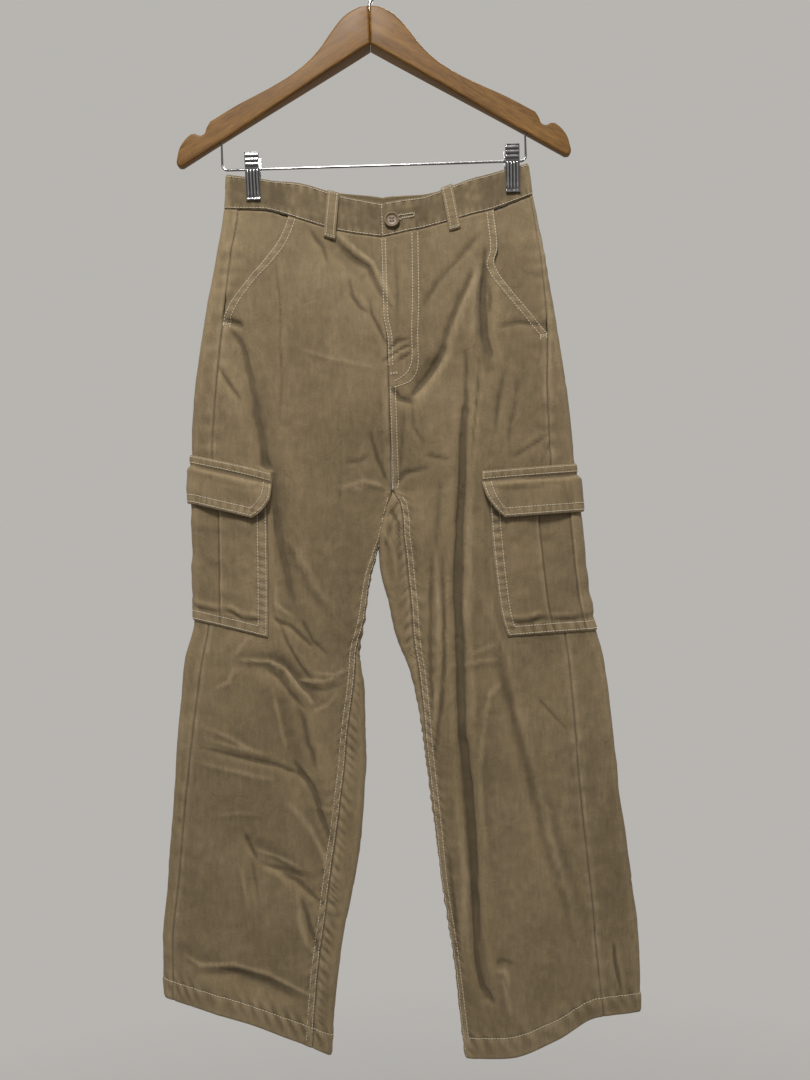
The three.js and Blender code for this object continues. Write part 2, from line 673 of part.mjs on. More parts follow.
// Waistband: one strip from its lapped end round the back to the end under the lap
function buildWaistband() {
  const topZ = WAIST_SEAM_Z + BAND_HEIGHT;
  const rows = [0, 1, 2, 3].map((i) => mix(topZ, WAIST_SEAM_Z + SEAM_GAP, i / 3));
  const corner = 5;
  const strip = (depth) => rows.map((rowZ) => {
    const right = sectionAt('right', rowZ);
    const left = sectionAt('left', rowZ);
    const rounding = corner * smoothStep(topZ - corner * 2.4, topZ, rowZ);
    const lap = right.front.length + LAP_OVER - rounding;
    const rightFront = stations(right, lap, 0, 16)
      .map((a) => liftedPoint(right, a, lapLift(right, a) - depth));
    const rightBack = stations(right, 0, -right.back.length, 13).slice(1)
      .map((a) => liftedPoint(right, a, -depth));
    const leftBack = stations(left, -left.back.length, 0, 13).slice(1, -1)
      .map((a) => liftedPoint(left, a, -depth));
    const leftFront = stations(left, 0, left.front.length, 13).map((a) => liftedPoint(left, a, -depth));
    const tuck = [0.5, 1].map((t) => (
      liftedPoint(right, right.front.length - t * BAND_UNDERLAP, -depth)
    ));
    return [...rightFront, ...rightBack, ...leftBack, ...leftFront, ...tuck];
  });
  addPiece('waistband', wall(strip(0), strip(BAND_CLOTH)), 'cloth');
}

// Place on a row of cloth that has a wanted x
function alongAtX(section, x, side) {
  const part = side > 0 ? section.front : section.back;
  const distance = Math.abs(section.outer - x);
  return side * (part.outerArc + distance - part.outerReach);
}

function buildBeltLoops() {
  const topZ = WAIST_SEAM_Z + BAND_HEIGHT + LOOP.above;
  const bottomZ = WAIST_SEAM_Z - LOOP.below;
  const steps = 8;
  for (const loop of LOOPS) {
    const centreBack = Math.abs(loop.topX - CENTRE_X) < LOOP.width;
    const grid = (depth) => Array.from({ length: steps + 1 }, (_, i) => {
      const t = i / steps;
      const section = sectionAt(loop.half, mix(topZ, bottomZ, t));
      const x = mix(loop.topX, loop.bottomX, t);
      const bow = LOOP.bow * Math.sin(Math.PI * t);
      const fit = centreBack ? Math.abs(loop.topX - CENTRE_X) - LOOP.width / 2 : 0;
      return [-1, 0, 1].map((edge) => {
        const along = alongAtX(section, x - fit + edge * (LOOP.width / 2), loop.side);
        return liftedPoint(section, along, SEAM_GAP + bow + depth);
      });
    });
    addPiece(loop.name, wall(grid(LOOP.thick), grid(0)), 'cloth');
  }
}

// A closed geometry as a solid that can be cut, and back
function toSolid(geometry) {
  const plain = geometry.clone();
  plain.deleteAttribute('normal');
  plain.deleteAttribute('uv');
  const merged = mergeVertices(plain, 1e-4);
  const solid = new wasm.Manifold(new wasm.Mesh({
    numProp: 3,
    vertProperties: Float32Array.from(merged.attributes.position.array),
    triVerts: Uint32Array.from(merged.index.array),
  }));
  return solid;
}
function toGeometry(solid) {
  const mesh = solid.getMesh();
  const geometry = new THREE.BufferGeometry();
  geometry.setAttribute('position', new THREE.BufferAttribute(Float32Array.from(mesh.vertProperties), 3));
  geometry.setIndex(Array.from(mesh.triVerts));
  geometry.computeVertexNormals();
  return geometry;
}

function lathe(profile, segments) {
  return new THREE.LatheGeometry(profile.map(([r, y]) => new THREE.Vector2(r, y)), segments);
}

// Four-hole button with a rim, sewn on over the lap
function buildButton() {
  const { radius, thick, hole, spread, seat } = BUTTON;
  let solid = toSolid(lathe(BUTTON_PROFILE.map(([r, y]) => [r * radius, y]), 24));
  for (const [dx, dz] of [[-1, -1], [1, -1], [1, 1], [-1, 1]]) {
    const drill = new THREE.CylinderGeometry(hole, hole, thick * 4, 8);
    drill.translate(dx * spread, 0, dz * spread);
    solid = solid.subtract(toSolid(drill));
  }
  const section = sectionAt('right', WAIST_SEAM_Z + BAND_HEIGHT / 2 - BUTTON.below);
  const along = alongAtX(section, BUTTON.x, 1);
  const mesh = addPiece('button', toGeometry(solid), 'button');
  const normal = surfaceNormal(section, along);
  mesh.quaternion.setFromUnitVectors(new THREE.Vector3(0, 1, 0), normal);
  mesh.position.copy(liftedPoint(section, along, lapLift(section, along) + seat));
}

// How much a pocket lies flat where it bends round the garment's edge
function flatAtEdge(along) {
  return Math.exp(-((along / EDGE_REACH) ** 2));
}

// Height of the cargo pocket's cloth over the panel, by its own across and down places
function pocketStand(along, across, down, height) {
  const edge = Math.min((POCKET_HALF_WIDTH - Math.abs(across)) / 26, (height - down) / 26);
  const puff = POCKET_PUFF * smoothStep(0, 1, edge) * (1 - 0.75 * flatAtEdge(along));
  const pleat = PLEAT_DEPTH * smoothStep(PLEAT_HALF_WIDTH + 1.5, PLEAT_HALF_WIDTH - 1.5, Math.abs(across));
  const hem = smoothStep(height - POCKET_HEM, height - POCKET_HEM - 12, down);
  return CLOTH + LAID_GAP + puff + (PLEAT_DEPTH - pleat) * hem * smoothStep(0, 1, edge);
}

// Places across a pocket: its own, and closer ones where it bends round the garment's edge
function placesAcross(own, centre) {
  const round = [-11, -7.5, -4, -0.5, 3, 6.5, 10, 14].map((along) => along - centre);
  const clear = own.filter((place) => round.every((other) => Math.abs(other - place) > 2.2));
  const inside = round.filter((place) => Math.abs(place) < Math.max(...own) - 2.2);
  return [...clear, ...inside].sort((a, b) => a - b);
}

function buildCargoPockets() {
  for (const half of HALVES) {
    const bandZ = POCKET_TOP_Z[half];
    const mouthZ = bandZ - MOUTH_BELOW_BAND;
    const height = mouthZ - POCKET_BOTTOM_Z[half];
    const centreOf = (section) => alongFromOuter(section, POCKET_CENTRE[half]);
    const centre = centreOf(sectionAt(half, mix(bandZ, POCKET_BOTTOM_Z[half], 0.5)));
    const across = placesAcross(POCKET_PLACES, centre);
    const down = POCKET_ROWS.map((t) => t * height);
    const grid = (depth) => down.map((drop) => {
      const section = sectionAt(half, mouthZ - drop);
      return across.map((offset) => {
        const along = centreOf(section) + offset;
        return liftedPoint(section, along, pocketStand(along, offset, drop, height) - depth);
      });
    });
    addPiece(`cargo_pocket_${half}`, wall(grid(0), grid(CLOTH)), 'cloth');

    const flapHalf = FLAP_SHAPE[0].half;
    const flapPlaces = placesAcross(FLAP_PLACES.map((t) => t * flapHalf), centre);
    const flapGrid = (depth) => FLAP_SHAPE.map((row) => {
      const section = sectionAt(half, bandZ - row.drop);
      return flapPlaces.map((place) => {
        const squeezed = place * (1 - (1 - row.half / flapHalf) * Math.abs(place / flapHalf) ** 3);
        const along = centreOf(section) + squeezed;
        const below = Math.max(row.drop - MOUTH_BELOW_BAND + 6, 0);
        const over = smoothStep(-10, -3, row.drop - MOUTH_BELOW_BAND);
        const highest = Math.max(...[-6, -3, 0, 3, 6].map((near) => (
          pocketStand(along + near, squeezed + near, below, height)
        )));
        const stand = row.stand * (1 - 0.75 * flatAtEdge(along));
        return liftedPoint(section, along, Math.max(FLAP_GAP, stand, over * (highest + FLAP_GAP)) + depth);
      });
    });
    addPiece(`cargo_flap_${half}`, wall(flapGrid(CLOTH), flapGrid(0)), 'cloth');
  }
}

// Wooden arm: outline of the right arm, mirrored for the left one
function armGeometry(direction) {
  const through = (points, count) => (
    new THREE.SplineCurve(points.map(([x, z]) => new THREE.Vector2(x, z))).getPoints(count)
  );
  const outline = new THREE.Shape([
    ...through(ARM_EDGES.shoulder, 20), ...through(ARM_EDGES.notch, 5), ...through(ARM_EDGES.tip, 5),
    new THREE.Vector2(ARM_UNDER.tipX, ARM_UNDER.tipZ), new THREE.Vector2(SEAM_GAP / 2, ARM_UNDER.neckZ),
  ]);
  const depth = ARM_DEPTH.neck - 2 * ARM_BEVEL;
  const geometry = new THREE.ExtrudeGeometry(outline, {
    depth, steps: 1, bevelEnabled: true, bevelThickness: ARM_BEVEL,
    bevelSize: ARM_BEVEL, bevelOffset: -ARM_BEVEL, bevelSegments: 2,
  });
  geometry.translate(0, 0, -depth / 2);
  const place = geometry.attributes.position;
  for (let i = 0; i < place.count; i += 1) {
    const x = place.getX(i);
    const taper = mix(1, ARM_DEPTH.tip / ARM_DEPTH.neck, smoothStep(0, ARM_SPAN * 0.8, x));
    const y = place.getZ(i) * taper;
    place.setXYZ(i, x, -y, place.getY(i));
  }
  if (direction > 0) return geometry;
  geometry.scale(-1, 1, 1);
  return turnFaces(geometry);
}

// The same faces seen from their other side, after a mirror
function turnFaces(geometry) {
  const place = geometry.attributes.position;
  const corner = [new THREE.Vector3(), new THREE.Vector3()];
  for (let i = 0; i < place.count; i += 3) {
    corner[0].fromBufferAttribute(place, i + 1);
    corner[1].fromBufferAttribute(place, i + 2);
    place.setXYZ(i + 1, corner[1].x, corner[1].y, corner[1].z);
    place.setXYZ(i + 2, corner[0].x, corner[0].y, corner[0].z);
  }
  return geometry;
}

// Upright drill with room round a wire
function drillAt(x, middleZ, wire) {
  const radius = wire + SOCKET_CLEAR;
  const drill = new THREE.CylinderGeometry(radius, radius, DRILL_LENGTH, 12);
  drill.rotateX(Math.PI / 2);
  drill.translate(x, 0, middleZ);
  return drill;
}

function buildHanger() {
  for (const half of HALVES) {
    const direction = half === 'left' ? -1 : 1;
    let arm = toSolid(armGeometry(direction));
    const holeEnd = ARM_TOP_Z - HOOK.stem - SOCKET_CLEAR;
    arm = arm.subtract(toSolid(drillAt(0, holeEnd + DRILL_LENGTH / 2, HOOK.wire)));
    const socketEnd = armUnderside(BAR.half) + BAR.socket + SOCKET_CLEAR;
    const socketX = direction * BAR.half;
    arm = arm.subtract(toSolid(drillAt(socketX, socketEnd - DRILL_LENGTH / 2, BAR.wire)));
    addPiece(`hanger_arm_${half}`, toGeometry(arm), 'wood');
  }
  addPiece('hanger_hook', wireAlong(hookPoints(), HOOK.wire), 'metal');
  addPiece('hanger_bar', wireAlong(barPoints(), BAR.wire), 'metal');
}

// Height of the arm's underside at a distance from the hook
function armUnderside(x) {
  return mix(ARM_UNDER.neckZ, ARM_UNDER.tipZ, x / ARM_UNDER.tipX);
}

// A path whose steps fall on chosen points
class PointPath extends THREE.Curve {
  constructor(points) {
    super();
    this.points = points;
  }

  getPoint(t) {
    const last = this.points.length - 1;
    const i = Math.min(Math.floor(t * last), last - 1);
    return this.points[i].clone().lerp(this.points[i + 1], t * last - i);
  }

  getPointAt(u) {
    return this.getPoint(u);
  }

  getTangentAt(u) {
    return this.getTangent(u);
  }
}

function wireAlong(points, radius) {
  const ring = new THREE.Shape();
  ring.absarc(0, 0, radius, 0, Math.PI * 2, false);
  return new THREE.ExtrudeGeometry(ring, {
    steps: points.length - 1, curveSegments: 5, extrudePath: new PointPath(points), bevelEnabled: false,
  });
}

function hookPoints() {
  const { radius, wire, stem } = HOOK;
  const at = (x, z) => new THREE.Vector3(x, 0, z);
  const points = [at(0, ARM_TOP_Z - stem), ...HOOK_NECK.map(([x, z]) => at(x, z))];
  for (let i = 0; i <= HOOK_TURN.steps; i += 1) {
    const angle = THREE.MathUtils.degToRad(mix(HOOK_TURN.from, HOOK_TURN.to, i / HOOK_TURN.steps));
    points.push(at(radius * Math.cos(angle), wire - radius + radius * Math.sin(angle)));
  }
  return points;
}

function barPoints() {
  const { half, z, bend, socket } = BAR;
  const points = [new THREE.Vector3(-half, 0, armUnderside(half) + socket)];
  for (const side of [-1, 1]) {
    for (let i = 0; i <= 4; i += 1) {
      const angle = (Math.PI / 2) * (side < 0 ? i / 4 : 1 - i / 4);
      const x = side * (half - bend + bend * Math.cos(angle));
      points.push(new THREE.Vector3(x, 0, z + bend - bend * Math.sin(angle)));
    }
  }
  points.push(new THREE.Vector3(half, 0, armUnderside(half) + socket));
  return points;
}

// Spring clips: two bent plates that grip the waistband under a coil on the bar
function jawGeometry() {
  const { sheet, ridge, ridges, lip, lipHeight } = JAW;
  const outline = new THREE.Shape();
  JAW_INSIDE.forEach(([y, z], i) => (i === 0 ? outline.moveTo(y, z) : outline.lineTo(y, z)));
  outline.lineTo(JAW_GRIP + lip, CLIP_BOTTOM_Z);
  outline.lineTo(JAW_GRIP + lip, CLIP_BOTTOM_Z + lipHeight);
  for (let i = JAW_INSIDE.length - 2; i >= 0; i -= 1) {
    const [y, z] = JAW_INSIDE[i];
    outline.lineTo(y + sheet, z);
    if (i > 0 && i <= ridges) {
      const [upY, upZ] = JAW_INSIDE[i - 1];
      for (const t of [0.3, 0.6]) outline.lineTo(mix(y, upY, t) + sheet + ridge, mix(z, upZ, t));
    }
  }
  const geometry = new THREE.ExtrudeGeometry(outline, { depth: CLIP_WIDTH, steps: 1, bevelEnabled: false });
  geometry.translate(0, 0, -CLIP_WIDTH / 2);
  const place = geometry.attributes.position;
  for (let i = 0; i < place.count; i += 1) {
    place.setXYZ(i, place.getZ(i), place.getX(i), place.getY(i));
  }
  return geometry;
}

function buildClips() {
  for (const half of HALVES) {
    const x = CLIP_X[half];
    const back = addPiece(`clip_back_${half}`, jawGeometry(), 'metal');
    back.position.x = x;
    const front = addPiece(`clip_front_${half}`, jawGeometry(), 'metal');
    front.rotation.z = Math.PI;
    front.position.x = x;
    const inner = BAR.wire + SOCKET_CLEAR;
    const reach = CLIP_WIDTH / 2 - SPRING.inset;
    const tube = [
      [inner, -reach], [SPRING.radius, -reach], [SPRING.radius, reach], [inner, reach], [inner, -reach],
    ];
    const ring = addPiece(`clip_spring_${half}`, lathe(tube, 20), 'metal');
    ring.rotation.z = Math.PI / 2;
    ring.position.set(x, 0, BAR.z);
  }
}

buildPanels();
buildPocketFacings();
buildFlyShield();
buildWaistband();
buildBeltLoops();
buildButton();
buildCargoPockets();
buildHanger();
buildClips();

export default pants;
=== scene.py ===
"""Cargo pants on a wooden clip hanger: fine cloth, stitching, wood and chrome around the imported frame.

Garment tables are in millimetres; everything that Blender gets is in metres. x is the viewer's right,
y goes away from the viewer and z is up; the origin is the inside top of the hook.
"""
import math

import bmesh
import bpy
import numpy as np
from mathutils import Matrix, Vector


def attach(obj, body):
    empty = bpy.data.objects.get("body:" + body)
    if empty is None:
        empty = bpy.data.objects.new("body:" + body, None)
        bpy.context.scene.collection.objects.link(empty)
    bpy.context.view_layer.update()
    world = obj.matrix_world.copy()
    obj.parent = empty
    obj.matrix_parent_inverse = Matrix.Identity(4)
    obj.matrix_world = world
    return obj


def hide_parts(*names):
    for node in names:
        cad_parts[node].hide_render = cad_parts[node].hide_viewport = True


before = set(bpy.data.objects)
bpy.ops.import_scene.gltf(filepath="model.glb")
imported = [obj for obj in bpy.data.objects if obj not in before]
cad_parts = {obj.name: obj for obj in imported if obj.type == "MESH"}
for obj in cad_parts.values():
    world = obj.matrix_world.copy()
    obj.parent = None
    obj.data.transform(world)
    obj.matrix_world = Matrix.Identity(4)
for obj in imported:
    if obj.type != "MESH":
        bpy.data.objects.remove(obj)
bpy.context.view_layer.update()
FINE = 2.6
MM = 0.001

# Garment sizes
CLOTH = 1.8
BAND_CLOTH = 2.0
SEAM_GAP = 0.3
HALF_GAP = SEAM_GAP / 2
CENTRE_X = 9
WAIST_SEAM_Z = -323
BAND_HEIGHT = 40
CROTCH_Z = -605
CROTCH_CURVE = 26
CLOSING_HEIGHT = 130
FOLD_RADIUS = 7
BACK_RISE = 15
BACK_RISE_FADE = 190
BACK_RISE_END = 0.75
HEM_Z = {"left": -1233, "right": -1240}
HALVES = ("left", "right")

# Columns z, outer, outseam: silhouette of each leg, and how far in front of it the outseam runs
OUTLINE = {
    "left": (
        (-236, -168, 14), (-280, -171, 16), (-340, -183, 18), (-420, -199, 22), (-500, -212.5, 25),
        (-560, -216.5, 24), (-660, -217.5, 21), (-740, -219.5, 18), (-790, -232, 21), (-860, -240, 18),
        (-940, -248.5, 15.5), (-1020, -256, 14), (-1100, -264, 12.5), (-1200, -264, 11),
    ),
    "right": (
        (-236, 174, 3), (-280, 179, 3), (-340, 188.8, 5), (-420, 199.5, 11), (-500, 209.5, 23),
        (-560, 215, 27), (-660, 220, 32), (-740, 227, 34.5), (-790, 240, 40), (-860, 247.5, 43.5),
        (-940, 253.5, 46), (-1020, 261.5, 48), (-1100, 268.5, 50), (-1200, 270, 45),
    ),
}
# Columns z, inner, inseam: inner edge of each leg, and how far from it the inseam runs on the front
INSIDE = {
    "left": (
        (-605, 9, 0), (-620, 4.5, 0), (-640, -0.5, 0), (-660, -6, 0), (-680, -11.5, 0.5), (-700, -17.5, 1),
        (-750, -26.5, 1.5), (-788, -34, 3.5), (-830, -29, 13), (-900, -29.5, 22.5), (-960, -34.5, 26),
        (-1020, -42.5, 28), (-1100, -61, 22), (-1160, -71, 21), (-1240, -79, 20),
    ),
    "right": (
        (-605, 9, 0), (-620, 0.5, 17), (-640, -6, 26), (-655, -9.5, 29.5), (-690, -8.5, 31.5),
        (-730, 0.5, 25.5), (-770, 8.5, 19), (-810, 23, 9.5), (-850, 31, 5),
        (-900, 36.5, 2.5), (-980, 44.5, 1.5), (-1060, 52.5, 0.5), (-1140, 62, 0.5), (-1240, 70, 1),
    ),
}
# Columns z, q1 to q4: how far a row of cloth rises above its inner end at each quarter of the way out
SAG = {
    "left": (
        (-283, 10, 25, 35, 42), (-323, 8, 23, 40, 42), (-600, 8, 20, 36, 50), (-780, 6, 15, 27, 38),
        (-1000, 10, 25, 40, 52), (-1233, 28, 50, 62, 72),
    ),
    "right": (
        (-283, 6, 20, 34, 44), (-323, 9, 20, 33, 48), (-600, 2, 6, 9, 12), (-780, 1, 3, 5, 6),
        (-1000, 2, 10, 22, 26), (-1240, 6, 27, 48, 46),
    ),
}
# Columns z, front, back, lean: how far the layers stand off the fold line, and how far that leans back
BULGE = (
    (-283, 5, 5, 0), (-340, 9, 10, 0), (-430, 15, 16, -1), (-560, 16, 19, 2), (-700, 14, 15, 4),
    (-900, 14, 12, -1), (-1060, 13, 12, -3), (-1240, 16, 13, -8),
)
# Columns z, edge: distance of a slant pocket's cut edge in front of the silhouette
SLANT = {
    "left": ((-323, 73), (-356, 66), (-380, 56), (-404, 41), (-427, 28), (-452, 19)),
    "right": (
        (-323, 45), (-349, 47), (-366, 50), (-380, 57), (-392, 54), (-411, 44), (-435, 29), (-461, 13),
    ),
}
SLANT_END_Z = {"left": -452, "right": -461}
FACING_UNDERLAP = 8
FACING_GAP = 0.9
FACING_CLOTH = 1.2
FACING_BELOW = 16

# Largest folds, close to those of the solids: side, depth, width, path
FOLDS = (
    (1, 5, 9, ((120, -366), (116, -421), (121, -470))),
    (1, 5.5, 6.5, ((93, -520), (84, -640), (80, -750), (79, -876), (85, -1040), (95, -1167))),
    (1, 4, 12, ((122, -797), (151, -914), (183, -1013), (196, -1073))),
    (1, 5, 9, ((68, -456), (34, -499))),
    (1, 6, 16, ((-168, -412), (-145, -480), (-127, -567), (-115, -650), (-109, -730), (-88, -770))),
    (1, 4, 10, ((-43, -334), (-20, -364))),
    (1, 6, 11, ((-161, -789), (-122, -793), (-103, -811), (-84, -838))),
    (1, 7, 15, ((-122, -840), (-89, -945), (-80, -1020))),
    (1, 4, 11, ((-158, -988), (-129, -1010), (-95, -1043))),
    (1, 4, 12, ((-237, -1112), (-98, -1161))),
    (-1, 6, 14, ((2, -590), (-50, -545), (-95, -520))),
    (-1, 5, 13, ((14, -585), (60, -550), (112, -535))),
    (-1, 7, 14, ((-95, -600), (-104, -740), (-120, -860), (-128, -990))),
    (-1, 8, 13, ((118, -590), (112, -730), (124, -880), (138, -1040), (150, -1150))),
    (-1, 5, 11, ((-60, -800), (-110, -822), (-168, -812))),
    (-1, 5, 12, ((66, -850), (120, -862), (190, -840))),
)

CLIP_X = {"left": -137, "right": 155.5}
CLIP_TOP_Z = -220
CLIP_BOTTOM_Z = -272
CLIP_WIDTH = 16
PINCH_FLAT = 12
PINCH_REACH = 34
PINCH_DROP = 62
PINCH_HALF = BAND_CLOTH + 0.25

LAP_LIFT = BAND_CLOTH + SEAM_GAP
LAP_FULL = 24
LAP_FADE = 46
LAP_OVER = 4
LAP_TOP_Z = -450
LAP_END_Z = -492
LAP_OVER_END_Z = -440
BAND_UNDERLAP = 20
SHIELD_HALF = 18
SHIELD_CLOTH = 1.3
SHIELD_END_Z = -476
BUTTON = {
    "x": 18, "below": 3, "radius": 8.5, "hole": 0.9, "spread": 1.7, "seat": 0.8, "sides": 64,
    "drilled": (0.5, 4.5), "thread": 0.34,
}

POCKET_TOP_Z = {"left": -606, "right": -592}
POCKET_BOTTOM_Z = {"left": -780, "right": -774}
POCKET_CENTRE = {"left": 14, "right": 30}
POCKET_HALF_WIDTH = 72
POCKET_HEM = 10
POCKET_PUFF = 2
PLEAT_HALF_WIDTH = 19
PLEAT_DEPTH = 1.2
LAID_GAP = 0.6
FLAP_GAP = 1
EDGE_REACH = 22
MOUTH_BELOW_BAND = 20
# Columns drop, half, stand: how far down the flap, its half width there, and how far it stands off
FLAP_SHAPE = (
    (0, 77, 0), (9, 78, 0), (16, 77.5, 4.4), (27, 75, 7.6), (38, 69, 8.6), (45, 64, 9.2), (52, 57, 9.6),
)

LOOP = {"width": 13, "thick": 1.8, "above": 1.5, "below": 11, "bow": 2.2}
LOOP_ROW = 0.62
# Columns name, half, side, x at the top, x at the bottom
LOOPS = (
    ("belt_loop_front_left", "left", 1, -46, -52),
    ("belt_loop_front_right", "right", 1, 80, 88),
    ("belt_loop_back_left", "left", -1, -92, -94),
    ("belt_loop_back_right", "right", -1, 112, 114),
    ("belt_loop_centre_back", "right", -1, 17, 17),
)

